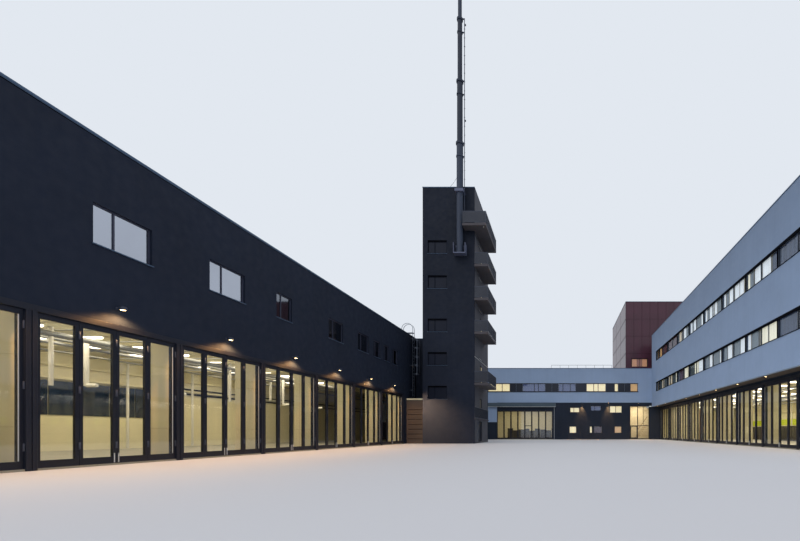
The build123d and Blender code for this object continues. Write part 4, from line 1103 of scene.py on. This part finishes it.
class STATION_OT_outside_lamps(Operator):
    """Drum lamps on the walls, discs under the soffit, and the glow that they throw."""

    bl_idname = "station.outside_lamps"
    bl_label = "Outside lamps"

    def execute(self, context):
        sizes = context.scene.station_sizes
        left = places(LEFT_FACE + 0.095, middles(LEFT_POSTS), 2.6)
        back = places([1.46, 3.41, 5.695], BACK_FACE - 0.095, 2.7)
        discs = places(RIGHT_FACE + 0.2, middles(RIGHT_POSTS), 2.43)
        drums = np.concatenate([left, back])
        drum = [(0.034, 0.006), (0.05, 0.0), (0.053, 0.006), (0.053, 0.05), (0.04, 0.06)]
        plate_low = np.concatenate([left - (0.095, 0.03, -0.008), back - (0.03, -0.083, -0.008)])
        plate_high = np.concatenate([left + (-0.083, 0.03, 0.052), back + (0.03, 0.095, 0.052)])
        arm_low = np.concatenate([left - (0.09, 0.012, -0.02), back - (0.012, -0.03, -0.02)])
        arm_high = np.concatenate([left + (-0.03, 0.012, 0.04), back + (0.012, 0.09, 0.04)])
        rim = [(0.034, 0.004), (0.04, 0.0), (0.048, 0.003), (0.048, 0.02)]
        housings = joined(
            lathed(drum, drums),
            bars(plate_low, plate_high, sizes.chamfer),
            bars(arm_low, arm_high, sizes.chamfer),
            lathed(rim, discs),
        )
        lens = [(0.01, -0.001), (0.032, 0.0), (0.034, 0.004), (0.03, 0.012)]
        lenses = lathed(lens, np.concatenate([drums, discs]) + (0, 0, 0.003))
        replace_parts(piece("lamp_housings", housings, "dark_metal", "dark_metal"), "wall_lamps")
        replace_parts(piece("lamp_lenses", lenses, "lamp_lens", "lamp_glass"), "wall_lamps")
        unlit = linked("doors_out_of_the_lamps_glow", "left_folding_doors")
        unlit.collection_objects[0].light_linking.link_state = "EXCLUDE"
        amber = (1.0, 0.5, 0.17)
        glows = [(place, 9.0, 152.0) for place in left + (0.1, 0.0, -0.02)]
        glows += [(place, 26.0, 56.0) for place in back + (0.0, -0.02, -0.02)]
        glows += [(place, 1.4, 150.0) for place in discs - (0.0, 0.0, 0.02)]
        for index, (place, share, angle) in enumerate(glows):
            power = sizes.lamp_power * share
            spot_light(f"lamp_glow_{index}", place, power, amber, angle, 0.6, 0.03, unlit)
        turn = mathutils.Vector((0.9, 1.5, -1.3)).to_track_quat("-Z", "Y").to_euler()
        wall, power = linked("tower_foot", "tower_front_wall"), sizes.foot_wash
        place, peach = (-7.3, -4.1, 2.5), (1.0, 0.6, 0.32)
        spot_light("tower_foot_wash", place, power, peach, 78.0, 1.0, 0.05, wall, turn)
        return {"FINISHED"}


class STATION_OT_room_lights(Operator):
    """Ceiling tubes and the warm light of the halls and the back wing."""

    bl_idname = "station.room_lights"
    bl_label = "Room lights"

    def execute(self, context):
        power = context.scene.station_sizes.hall_power
        warm, rose = (1.0, 0.88, 0.66), (1.0, 0.8, 0.62)
        tubes = [(5.5, 9.2, 2.58), (6.3, 9.2, 2.58)]
        for y in middles(LEFT_POSTS):
            area_light("left_bay_light", (-10.6, y, 2.8), (5.0, 1.2), power * 1.15, warm)
            for x in (-8.6, -9.9, -11.2, -12.5):
                tubes += [(x, y - 0.55, 2.78), (x, y + 0.55, 2.78)]
        for y in middles(RIGHT_POSTS):
            area_light("right_bay_light", (10.6, y, 2.33), (5.0, 1.2), power * 1.65, warm)
            for x in (8.3, 9.6, 10.9, 12.2):
                tubes += [(x, y - 0.55, 2.31), (x, y + 0.55, 2.31)]
        for x in (-4.2, -1.9):
            area_light("back_hall_light", (x, 11.0, 2.65), (1.8, 4.0), power, warm)
            tubes += [(x, y, 2.6) for y in (9.0, 10.2, 11.4, 12.6)]
        area_light("entrance_light", (5.9, 9.2, 2.6), (1.2, 1.0), power * 0.8, rose)
        turned = (math.radians(90.0), 0.0, 0.0)
        area_light("entrance_low_light", (5.9, 8.5, 0.7), (1.3, 1.0), 9.0, rose, turned)
        half = np.array([0.3, 0.028, 0.022])
        lit = bars(tubes - half, tubes + half, 0.012)
        piece("ceiling_tubes", lit, "ceiling_tube", "lamp_glass")
        over, half = np.array([0.0, 0.0, 0.035]), np.array([0.32, 0.04, 0.012])
        trays = bars(tubes + over - half, tubes + over + half, 0.004)
        piece("tube_trays", trays, "white_pipe", "galvanised_steel")
        return {"FINISHED"}


class STATION_OT_room_services(Operator):
    """Ducts, pipes, beams and dark inner doors that show through the hall's glass."""

    bl_idname = "station.room_services"
    bl_label = "Room services"

    def execute(self, context):
        runs = ((-9.2, 2.62, 0.035), (-10.4, 2.55, 0.06), (-11.8, 2.62, 0.035))
        start = HALL_NEAR + 0.05
        ducts = [rods((x, start, z), (x, ROOMS_FAR, z), radius) for x, z, radius in runs]
        runs = ((8.9, 2.2, 0.03), (10.1, 2.15, 0.05), (11.6, 2.2, 0.03))
        ducts += [rods((x, WING_NEAR, z), (x, 10.0, z), radius) for x, z, radius in runs]
        piece("hall_ducts", joined(*ducts), "duct_steel", "galvanised_steel", smooth=True)
        left, right = LEFT_POSTS[1:-1] + 0.3, RIGHT_POSTS[1:-1] + 0.3
        drops = [(-10.4, left, 1.5, 2.7), (-13.6, left, 0.05, 2.7)]
        drops += [(10.1, right, 1.3, 2.3), (13.6, right, 0.05, 2.3)]
        drops = [rods(places(x, y, foot), places(x, y, head), 0.035) for x, y, foot, head in drops]
        piece("drop_pipes", joined(*drops), "white_pipe", "galvanised_steel", smooth=True)
        left, right = LEFT_POSTS[1:], RIGHT_POSTS[1:-1]
        beams = boxes(
            0.01,
            (LEFT_ROOM, -7.66, left - 0.06, left + 0.06, 2.7, 2.92),
            (7.51, 13.84, right - 0.06, right + 0.06, 2.3, 2.445),
        )
        piece("ceiling_beams", beams, "cream_beam_paint", "cream_plaster")
        ledges = boxes(
            0.01,
            (LEFT_ROOM, -13.72, HALL_NEAR, ROOMS_FAR, 2.0, 2.06),
            (LEFT_ROOM, -13.76, HALL_NEAR, ROOMS_FAR, 2.36, 2.42),
            (13.72, RIGHT_ROOM, WING_NEAR, 10.0, 1.75, 1.83),
        )
        piece("wall_ledges", ledges, "cream_beam_paint", "cream_plaster")
        light = BAY / 3
        near = (LEFT_POSTS[:-1, None] + light * np.arange(3)).ravel()
        near = near[near <= GLAZING_END]
        glazed = boxes(0.006, (LEFT_ROOM, -13.82, near + 0.012, near + light - 0.012, 1.02, 1.95))
        piece("inner_glazing", glazed, "inner_glass", "window_frame")
        z = np.array([1.92, 2.1])
        rails = boxes(0.003, (-13.83, -13.78, GLAZING_END, ROOMS_FAR, z, z + 0.04))
        piece("inner_wall_rails", rails, "black_trim_and_painted_shade", "window_frame")
        left, right = np.array([-8.9, -11.5, -13.2]), np.array([8.5, 11.2, 12.9])
        trays = boxes(
            0.004,
            (left, left + 0.16, HALL_NEAR + 0.02, ROOMS_FAR, 2.63, 2.66),
            (right, right + 0.16, WING_NEAR, 8.0, 2.2, 2.23),
        )
        start = places(-13.8, np.arange(LEFT_POSTS[0] + 0.55, LEFT_POSTS[-1], 1.1), 2.69)
        sprinklers = rods(start, start + (6.1, 0.0, 0.0), 0.011, 8)
        piece("cable_trays", joined(trays, sprinklers), "duct_steel", "galvanised_steel")
        y = middles(LEFT_POSTS)
        pipes = [
            rods(places(-11.1, y + 0.4, 1.62), places(-11.1, y + 0.4, 2.7), 0.045, 16),
            rods(places(-11.1, y + 0.4, 1.64), places(-10.86, y + 0.4, 1.64), 0.045, 16),
            rods(places(-12.4, y - 0.7, 1.9), places(-12.4, y - 0.7, 2.7), 0.045, 16),
        ]
        piece("extract_pipes", joined(*pipes), "white_pipe", "galvanised_steel", smooth=True)
        band = boxes(0.002, (13.835, RIGHT_ROOM, WING_NEAR, ROOMS_FAR, 0.98, 1.34))
        piece("lime_band", band, "lime_stripe", "cream_plaster")
        y, x = np.arange(-11.3, 8.0, 0.31), np.arange(-4.7, -0.9, 0.47)
        racks = boxes(
            0.006,
            (13.45, 13.84, y, y + 0.29, 0.03, 0.92),
            (x, x + 0.44, 12.6, 12.95, 0.03, 0.78 + 0.1 * np.sin(x * 5.0)),
        )
        piece("room_lockers", racks, "locker_paint", "dark_metal")
        y = RIGHT_POSTS[1:-1:2]
        screens = boxes(0.006, (9.4, 9.46, y - 0.9, y - 0.15, 0.03, 2.1))
        piece("room_screens", screens, "screen_board", "cream_plaster")
        return {"FINISHED"}


def door_fittings(posts, face, outward):
    """Name, shape, finish and slot of the fittings on folding doors along y, four to a bay."""
    posts = np.sort(posts)
    near, far = posts[:-1, None] + POST / 2, posts[1:, None] - POST / 2
    step = (far - near) / 4
    start = near + step * np.arange(4)
    near, far = (start + 0.003).ravel(), (start + step - 0.003).ravel()
    front = face + outward * 0.006
    knuckles = []
    for height in (0.28, 1.15, 2.0):
        for edge in (near, far):
            base = places(front, edge, height)
            knuckles.append(rods(base, base + (0, 0, 0.11), 0.011, 10))
    y = far[3::4] - 0.051
    strips = boxes(0.002, (face - 0.004, face + 0.004, y - 0.006, y + 0.006, 0.145, 2.185))
    y = np.concatenate([near[2::4] - 0.035, near[2::4] + 0.029])
    bolts = boxes(0.003, (front - 0.008, front + 0.008, y - 0.006, y + 0.006, 0.045, 0.2))
    return (
        ("hinges", joined(*knuckles), "dark_metal", "door_frame"),
        ("gaskets", strips, "edge_gasket", "door_frame"),
        ("bolts", bolts, "bright_steel", "galvanised_steel"),
    )


class STATION_OT_door_fittings(Operator):
    """Hinges, edge strips, bolts and post covers on the folding doors of both halls."""

    bl_idname = "station.door_fittings"
    bl_label = "Door fittings"

    def execute(self, context):
        sides = (("left", LEFT_POSTS, LEFT_FACE, 1), ("right", RIGHT_POSTS, RIGHT_DOOR, -1))
        covers = []
        for _, posts, face, out in sides:
            sheet = sorted((face, face + out * 0.014))
            groove = sorted((face, face + out * 0.005))
            near, far = min(posts) - 0.063, max(posts) + 0.063
            covers += [
                (*sheet, posts - 0.063, posts - 0.009, 0.0, DOOR_HEAD),
                (*groove, posts - 0.009, posts + 0.009, 0.0, DOOR_HEAD),
                (*sheet, posts + 0.009, posts + 0.063, 0.0, DOOR_HEAD),
                (*sheet, near, far, DOOR_HEAD, DOOR_HEAD + 0.09),
            ]
        piece("post_covers", boxes(0.003, *covers), "door_metal", "door_frame")
        for side, posts, face, out in sides:
            for name, *rest in door_fittings(posts, face - out * LEAF_SETBACK, out):
                piece(f"{side}_door_{name}", *rest, smooth=name == "hinges")
        return {"FINISHED"}


class STATION_OT_window_trim(Operator):
    """Sills under the hall's upper windows, the apron under its long coping, and a black strip of
    painted shadow under the apron.
    """

    bl_idname = "station.window_trim"
    bl_label = "Window trim"

    def execute(self, context):
        apron = boxes(0.002, (LEFT_FACE, LEFT_FACE + 0.01, *COPING_REACH, 5.305, 5.352))
        piece("coping_aprons", apron, "coping_metal", "coping_metal")
        # Painted shadow: a black strip under the apron stands for the shadow that it casts
        gap = boxes(0.001, (LEFT_FACE, LEFT_FACE + 0.003, *COPING_REACH, 5.293, 5.305))
        piece("coping_shadow_gap", gap, "black_trim_and_painted_shade", "window_frame")
        near, far = LEFT_WINDOWS.T
        outer = -18.4 + BAY * (np.arange(12) + 0.5)
        reach = OUTER_WINDOW / 2 + 0.02
        sill = (LEFT_SILL - 0.012, LEFT_SILL + 0.006)
        sills = boxes(
            0.004,
            (LEFT_FACE - 0.04, LEFT_FACE + 0.022, near - 0.02, far + 0.02, *sill),
            (LEFT_OUTER - 0.014, LEFT_OUTER + 0.04, outer - reach, outer + reach, *sill),
        )
        piece("hall_window_sills", sills, "coping_metal", "coping_metal")
        return {"FINISHED"}


class STATION_OT_balconies(Operator):
    """Balusters, handrails and posts round the tower's balconies."""

    bl_idname = "station.balconies"
    bl_label = "Balconies"

    def execute(self, context):
        sizes = context.scene.station_sizes
        pitch = sizes.baluster_pitch
        out_x, far_y = TOWER_RIGHT + BALCONY_DEPTH, TOWER_FRONT + BALCONY_LENGTH
        thin, rail = [], []
        for floor in BALCONY_FLOORS:
            wraps = floor == BALCONY_FLOORS[-1]
            near_y = TOWER_FRONT - 0.525 if wraps else TOWER_FRONT
            start_x = TOWER_RIGHT - 0.45 if wraps else TOWER_RIGHT
            foot, head = floor + 0.04, floor + RAIL_HEIGHT - 0.024
            y = np.arange(near_y + 0.02, far_y - 0.01, pitch)
            thin.append((out_x - 0.019, out_x - 0.001, y - 0.004, y + 0.004, foot, head))
            x = np.arange(start_x + 0.012, out_x - 0.012, pitch / 3)
            thin.append((x - 0.005, x + 0.005, near_y + 0.003, near_y + 0.017, foot, head))
            x = np.arange(TOWER_RIGHT + 0.02, out_x - 0.02, pitch)
            thin.append((x - 0.003, x + 0.003, far_y - 0.017, far_y - 0.003, foot, head))
            for z in ((head, floor + RAIL_HEIGHT), (foot - 0.008, foot + 0.008)):
                rail.append((out_x - 0.02, out_x, near_y, far_y, *z))
                rail.append((start_x, out_x, near_y, near_y + 0.02, *z))
                rail.append((TOWER_RIGHT, out_x, far_y - 0.02, far_y, *z))
                if wraps:
                    rail.append((start_x, start_x + 0.02, near_y, TOWER_FRONT, *z))
            if wraps:
                y = np.arange(near_y + 0.05, TOWER_FRONT - 0.02, pitch)
                thin.append((start_x + 0.003, start_x + 0.017, y - 0.003, y + 0.003, foot, head))
            y = np.linspace(near_y + 0.012, far_y - 0.012, 5)
            rail.append((out_x - 0.02, out_x, y - 0.01, y + 0.01, floor, head))
        foot, head = FRENCH_FLOOR + 0.04, FRENCH_FLOOR + 0.53
        y = np.arange(TOWER_FRONT + 0.02, TOWER_REAR, pitch)
        thin.append((TOWER_RIGHT + 0.003, TOWER_RIGHT + 0.017, y - 0.003, y + 0.003, foot, head))
        for z in ((head, head + 0.03), (FRENCH_FLOOR, foot)):
            rail.append((TOWER_RIGHT, TOWER_RIGHT + 0.02, TOWER_FRONT, TOWER_REAR, *z))
        rails = boxes(sizes.chamfer, *rail)
        balusters = boxes(0.0015, *thin)
        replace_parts(piece("balcony_handrails", rails, "dark_metal", "dark_metal"), "balcony_rails")
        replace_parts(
            piece("balcony_balusters", balusters, "rail_sheet", "dark_metal"), "balcony_rails"
        )
        return {"FINISHED"}


def handle(name, body, grip, length, inset, radius, stub):
    """A pull handle: an upright round grip and two stubs, which start and end off the grip."""
    grip = np.array(grip)
    stubs = np.array([grip + (0.0, 0.0, inset), grip + (0.0, 0.0, length - inset)])
    bar = rods(grip, grip + (0.0, 0.0, length), radius, 10)
    shape = joined(bar, rods(stubs + stub[0], stubs + stub[1], 0.006, 8))
    piece(name, shape, "zinc_coat", "galvanised_steel", body=body)


class STATION_OT_tower_trim(Operator):
    """Sills of the tower's windows, black heads over them that are partly painted shade, strip lamps
    over the side doors, a painted glow at the doors, mast fixings.
    """

    bl_idname = "station.tower_trim"
    bl_label = "Tower trim"

    def execute(self, context):
        near, far = TOWER_WINDOW_X
        sills = TOWER_WINDOW_SILLS
        front, side = TOWER_FRONT, TOWER_RIGHT
        trim = (near - 0.03, far + 0.03, front - 0.014, front + 0.02, sills - 0.016, sills - 0.004)
        piece("tower_sills", boxes(0.003, trim), "coping_metal", "coping_metal")
        heads = sills + TOWER_WINDOW_HEIGHT
        # Partly painted shade: the blind boxes are black, for the shadow under the window heads
        blinds = boxes(0.003, (near, far, front + 0.02, front + 0.05, heads - 0.07, heads))
        piece("tower_blind_boxes", blinds, "black_trim_and_painted_shade", "window_frame")
        floors = np.array(BALCONY_FLOORS[:-1])
        strips = boxes(0.004, (side, side + 0.022, -1.6, -0.95, floors + 1.342, floors + 1.358))
        piece("door_strip_lamps", strips, "pale_metal", "galvanised_steel")
        jamb = SIDE_DOOR_Y[1]
        # Painted light: a glowing strip at each upper door's jamb stands for the light of the stair
        # inside
        glow = (side - 0.085, side - 0.012, jamb - 0.012, jamb, floors + 0.03, floors + 1.0)
        piece("door_glow", boxes(0.003, glow), "stair_glow", "lamp_glass")
        drain = lathed(
            [(0.012, -0.06), (0.024, -0.058), (0.026, -0.03), (0.026, 0.0)],
            (side + 0.52, front - 0.4, BALCONY_FLOORS[-1] - 0.1),
        )
        piece("balcony_drain", drain, "pale_metal", "galvanised_steel")
        self.mast_fittings()
        low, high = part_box("tower_door")
        grip = (high[0] + 0.035, low[1] + 0.06, 0.5)
        stub = ((-0.036, 0.0, 0.0), (0.0, 0.0, 0.001))
        handle("tower_door_handle", "tower_door_leaf", grip, 0.15, 0.02, 0.009, stub)
        low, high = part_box("entrance_door")
        grip = (high[0] - 0.03, low[1] - 0.035, 0.35)
        stub = ((0.0, 0.0, 0.0), (0.0, 0.036, 0.001))
        handle("entrance_door_handle", "entrance_leaf", grip, 0.5, 0.04, 0.01, stub)
        self.mast_stay()
        trunk = BALCONY_FLOORS[0] + 1.25
        reach = (side, side + 0.02, front + 0.01, TOWER_REAR - 0.01, trunk, trunk + 0.022)
        piece("cable_trunking", boxes(0.003, reach), "pale_metal", "galvanised_steel")
        return {"FINISHED"}

    def mast_fittings(self):
        """Sleeves at the tubes' heads, clips and small lamps on the conduit."""
        x, y = MAST_PLACE
        sleeve = np.array([(0.0, 0.0), (0.03, 0.0), (0.036, 0.01), (0.036, 0.1), (0.0, 0.112)])
        sleeves = [lathed(sleeve + (r, 0.0), (x, y, top - 0.11)) for r, top in MAST_SECTIONS]
        clip = places(x + 0.19, y, np.arange(11.3, 19.9, 0.42))
        clips = rods(clip, clip + (0.065, 0.0, 0.001), 0.011, 8)
        lights = places(x + 0.26, y, [15.3, 19.85])
        arms = rods(lights - (0.06, 0.0, -0.03), lights + (0.0, 0.0, 0.031), 0.012, 8)
        lantern = [(0.024, 0.0), (0.03, 0.01), (0.03, 0.06), (0.018, 0.085)]
        fittings = joined(*sleeves, clips, arms, lathed(lantern, lights))
        piece("mast_fittings", fittings, "mast_coat", "dark_metal")

    def mast_stay(self):
        """A cable from the mast to the tower's roof, which sags by a half wave of a sine."""
        share = np.linspace(0.0, 1.0, 9)[:, None]
        mast_end, roof_end = np.array([-5.01, -2.73, 12.7]), np.array([-5.42, -2.5, 12.362])
        sag = 0.04 * np.sin(math.pi * share)
        stay = mast_end + (roof_end - mast_end) * share - np.array([0.0, 0.0, 1.0]) * sag
        cable = rods(stay[:-1], stay[1:], 0.006, 8)
        piece("mast_stay", cable, "dark_metal", "dark_metal", smooth=True)


def cut_round(spans, hole, gap):
    """Panels (near, far, foot, head) trimmed so that none covers a window."""
    kept = []
    for a, b, c, d in spans:
        if b <= hole[0] or a >= hole[1] or d <= hole[2] or c >= hole[3]:
            kept.append((a, b, c, d))
            continue
        if a < hole[0] - gap:
            kept.append((a, hole[0] - gap, c, d))
        if b > hole[1] + gap:
            kept.append((hole[1] + gap, b, c, d))
        near, far = max(a, hole[0] - gap), min(b, hole[1] + gap)
        if c < hole[2] - gap:
            kept.append((near, far, c, hole[2] - gap))
        if d > hole[3] + gap:
            kept.append((near, far, hole[3] + gap, d))
    return [s for s in kept if s[1] - s[0] > 0.02 and s[3] - s[2] > 0.02]


class STATION_OT_maroon_block(Operator):
    """Cladding cassettes on all four sides of the rear block."""

    bl_idname = "station.maroon_block"
    bl_label = "Maroon block"

    def execute(self, context):
        sizes = context.scene.station_sizes
        top = 10.9
        rows = round(top / sizes.panel_height)
        height = top / rows
        front = (5.515, 6.79, 5.75, 6.4)
        rear = [(6.45 + 2.6 * i, 7.725 + 2.6 * i, 5.75, 6.4) for i in range(3)]
        over_back = (RED_LEFT - 0.1, RIGHT_FACE, -1.0, 5.35)
        over_right = (RIGHT_FACE, RIGHT_OUTER + 0.1, -1.0, 5.35)
        beside_back = (RED_FRONT - 0.1, BACK_REAR, -1.0, 5.35)
        sides = [
            (0, RED_LEFT, RIGHT_OUTER, RED_FRONT, -1, [front, over_back, over_right]),
            (0, RED_LEFT, RIGHT_OUTER, RED_REAR, 1, rear),
            (1, RED_FRONT, RED_REAR, RED_LEFT, -1, [beside_back]),
            (1, RED_FRONT, RED_REAR, RIGHT_OUTER, 1, []),
        ]
        panels = []
        for axis, start, end, face, out, holes in sides:
            pitch, gap = (sizes.side_panel, 0.075) if axis else (sizes.panel_width, 0.016)
            columns = round((end - start) / pitch)
            width = (end - start) / columns
            skin = sorted((face, face + out * sizes.panel_depth))
            for column in range(columns):
                for row in range(rows):
                    a, b = start + column * width, start + (column + 1) * width
                    c, d = row * height, (row + 1) * height
                    spans = [(a + gap / 2, b - gap / 2, c + gap / 2, d - gap / 2)]
                    for hole in holes:
                        spans = cut_round(spans, hole, gap)
                    for a, b, c, d in spans:
                        panels.append((*skin, a, b, c, d) if axis else (a, b, *skin, c, d))
        cladding = boxes(sizes.chamfer, *panels)
        piece("maroon_cassettes", cladding, "maroon_cassettes", "red_cladding")
        # Painted light: panes behind the red block's window glow for its lit room, the middle one
        # dimmer
        thirds = np.linspace(front[0] + 0.03, front[1] - 0.03, 4)
        left, right = thirds[:-1] + 0.01, thirds[1:] - 0.01
        pane = (RED_FRONT + 0.1, RED_FRONT + 0.11, front[2] + 0.03, front[3] - 0.03)
        lit = boxes(0.002, (left[::2], right[::2], *pane))
        piece("red_window_lit", lit, "red_block_window", "cream_plaster")
        dim_pane = boxes(0.002, (left[1], right[1], *pane))
        piece("red_window_dim_glow", dim_pane, "red_block_window_dark", "cream_plaster")
        return {"FINISHED"}


class STATION_OT_ribbon_windows(Operator):
    """Curtains and rooms behind the right wing's ribbon windows, which glow with painted light, with
    sills and black heads that are partly painted shade.
    """

    bl_idname = "station.ribbon_windows"
    bl_label = "Ribbon windows"

    def execute(self, context):
        ends = np.concatenate([[-11.495], np.sort(RIGHT_POSTS)[1:-1], [6.875]])
        near, far = ends[0], ends[-1]
        gathered = {}
        trim = []
        # Painted light: the curtains and rooms glow as if lit from behind
        for (sill, head), rooms in zip(RIGHT_BANDS, (LOWER_CURTAINS, UPPER_CURTAINS)):
            for kind in ROOM_FINISHES:
                spans = [(start, end) for word, start, end in rooms if word == kind]
                if spans:
                    hung = curtains(spans, sill + 0.03, head - 0.03, RIGHT_FACE + 0.125)
                    gathered.setdefault(kind, []).append(hung)
            outer = np.stack([ends[:-1] + 0.08, ends[1:] - 0.08], axis=1)
            hung = curtains(outer, sill + 0.03, head - 0.03, RIGHT_OUTER - 0.13)
            gathered.setdefault("dim", []).append(hung)
            face, rear = RIGHT_FACE, RIGHT_OUTER
            trim += [
                (face - 0.02, face + 0.04, near - 0.05, far + 0.03, sill - 0.014, sill + 0.004),
                # Black head bars, partly painted shade: the shaded soffit of the window head above a
                # blind box
                (face - 0.004, face + 0.03, near - 0.02, far + 0.02, head - 0.085, head + 0.006),
                (rear - 0.04, rear + 0.014, near - 0.05, far + 0.03, sill - 0.014, sill + 0.004),
                (face - 0.002, face + 0.04, ends - 0.016, ends + 0.016, sill, head),
            ]
        for kind, shapes in gathered.items():
            piece(f"ribbon_{kind}", joined(*shapes), ROOM_FINISHES[kind], "cream_plaster")
        piece("ribbon_trim", boxes(0.003, *trim), "black_trim_and_painted_shade", "window_frame")
        return {"FINISHED"}


class STATION_OT_back_wing(Operator):
    """Dark panels in the back wing's window band, rooms and blinds behind it that glow with painted
    light, and trim on its doors.
    """

    bl_idname = "station.back_wing"
    bl_label = "Back wing"

    def execute(self, context):
        foot, head = BACK_BAND
        face = BACK_FACE
        mullion = (face + 0.035, face + 0.085)
        panels = [
            (-5.61, 5.7, face - 0.02, face, foot - 0.055, foot - 0.001),
            (-5.61, 5.7, face - 0.008, face, head, head + 0.02),
        ]
        edge = BACK_ROOMS[0][0] - 0.02
        for near, far, _, splits in BACK_ROOMS:
            if near - edge > 0.1:
                count = max(1, round((near - edge) / 0.55))
                width = (near - edge) / count
                x = edge + np.arange(count) * width
                panels.append((x + 0.004, x + width - 0.004, face - 0.006, face, foot, head))
            edge = far
            for x in splits:
                panels.append((x - 0.02, x + 0.02, *mullion, foot + 0.01, head - 0.01))
        for x, sill, lintel in ((0.86, 2.04, 2.38), (2.42, 2.17, 2.5), (4.0, 2.01, 2.5)):
            panels.append((x - 0.016, x + 0.016, *mullion, sill, lintel))
        piece("band_panels", boxes(0.002, *panels), "window_metal", "window_frame")
        rooms = [(near, far, foot, head, kind) for near, far, kind, _ in BACK_ROOMS]
        shapes = {}
        # Painted light: the rooms are panels and blinds that glow
        for near, far, sill, lintel, kind in rooms + GROUND_ROOMS:
            low = (near + 0.03, face + 0.12, sill + 0.03)
            high = (far - 0.03, face + 0.13, lintel - 0.03)
            blind = kind == "blind"
            shape = slats(low, high, 0.03, 1.15, 1) if blind else bars(low, high, 0.002)
            shapes.setdefault(kind, []).append(shape)
        for kind, made in shapes.items():
            piece(f"back_{kind}", joined(*made), ROOM_FINISHES[kind], "cream_plaster")
        step = np.arange(7)
        along, rise = 5.75 + 0.11 * step, 0.16 + 0.15 * step
        treads = boxes(0.004, (along, along + 0.12, 9.1, 9.9, rise, rise + 0.03))
        string = rods((5.7, 9.08, 0.6), (6.55, 9.08, 1.75), 0.018)
        piece("entrance_stair", joined(treads, string), "screen_board", "dark_metal")
        left, right, low_z, _ = FASCIA
        trim = boxes(
            0.002,
            (left, right, face - 0.152, face - 0.1, low_z - 0.012, low_z + 0.012),
            (-0.62, -0.6, face - 0.012, face, 0.02, low_z - 0.012),
        )
        piece("back_door_trim", trim, "bright_steel", "galvanised_steel")
        return {"FINISHED"}


class STATION_PT_panel(Panel):
    """Lists the station's pieces."""

    bl_idname = "STATION_PT_panel"
    bl_label = "Station"
    bl_space_type = "VIEW_3D"
    bl_region_type = "UI"
    bl_category = "Station"

    def draw(self, context):
        layout = self.layout
        for operator in OPERATORS:
            layout.operator(operator.bl_idname)
        for group in ("station_colours", "station_sizes", "station_view"):
            box = layout.box()
            settings = getattr(context.scene, group)
            for name in settings.__annotations__:
                box.prop(settings, name)


OPERATORS = [
    STATION_OT_stage,
    STATION_OT_finishes,
    STATION_OT_outside_lamps,
    STATION_OT_room_lights,
    STATION_OT_room_services,
    STATION_OT_door_fittings,
    STATION_OT_window_trim,
    STATION_OT_balconies,
    STATION_OT_tower_trim,
    STATION_OT_maroon_block,
    STATION_OT_ribbon_windows,
    STATION_OT_back_wing,
]
GROUPS = {
    "station_colours": StationColours,
    "station_sizes": StationSizes,
    "station_view": StationView,
}


def register():
    """Registers the settings, operators and panel."""
    for group in GROUPS.values():
        bpy.utils.register_class(group)
    for operator in OPERATORS:
        bpy.utils.register_class(operator)
    bpy.utils.register_class(STATION_PT_panel)
    for name, group in GROUPS.items():
        setattr(bpy.types.Scene, name, PointerProperty(type=group))


def unregister():
    """Takes the settings, operators and panel away again."""
    for name in GROUPS:
        delattr(bpy.types.Scene, name)
    bpy.utils.unregister_class(STATION_PT_panel)
    for operator in reversed(OPERATORS):
        bpy.utils.unregister_class(operator)
    for group in reversed(GROUPS.values()):
        bpy.utils.unregister_class(group)


def main():
    """Builds everything in order."""
    register()
    bpy.ops.station.stage()
    bpy.ops.station.finishes()
    bpy.ops.station.outside_lamps()
    bpy.ops.station.room_lights()
    bpy.ops.station.room_services()
    bpy.ops.station.door_fittings()
    bpy.ops.station.window_trim()
    bpy.ops.station.balconies()
    bpy.ops.station.tower_trim()
    bpy.ops.station.maroon_block()
    bpy.ops.station.ribbon_windows()
    bpy.ops.station.back_wing()


if __name__ == "__main__":
    main()
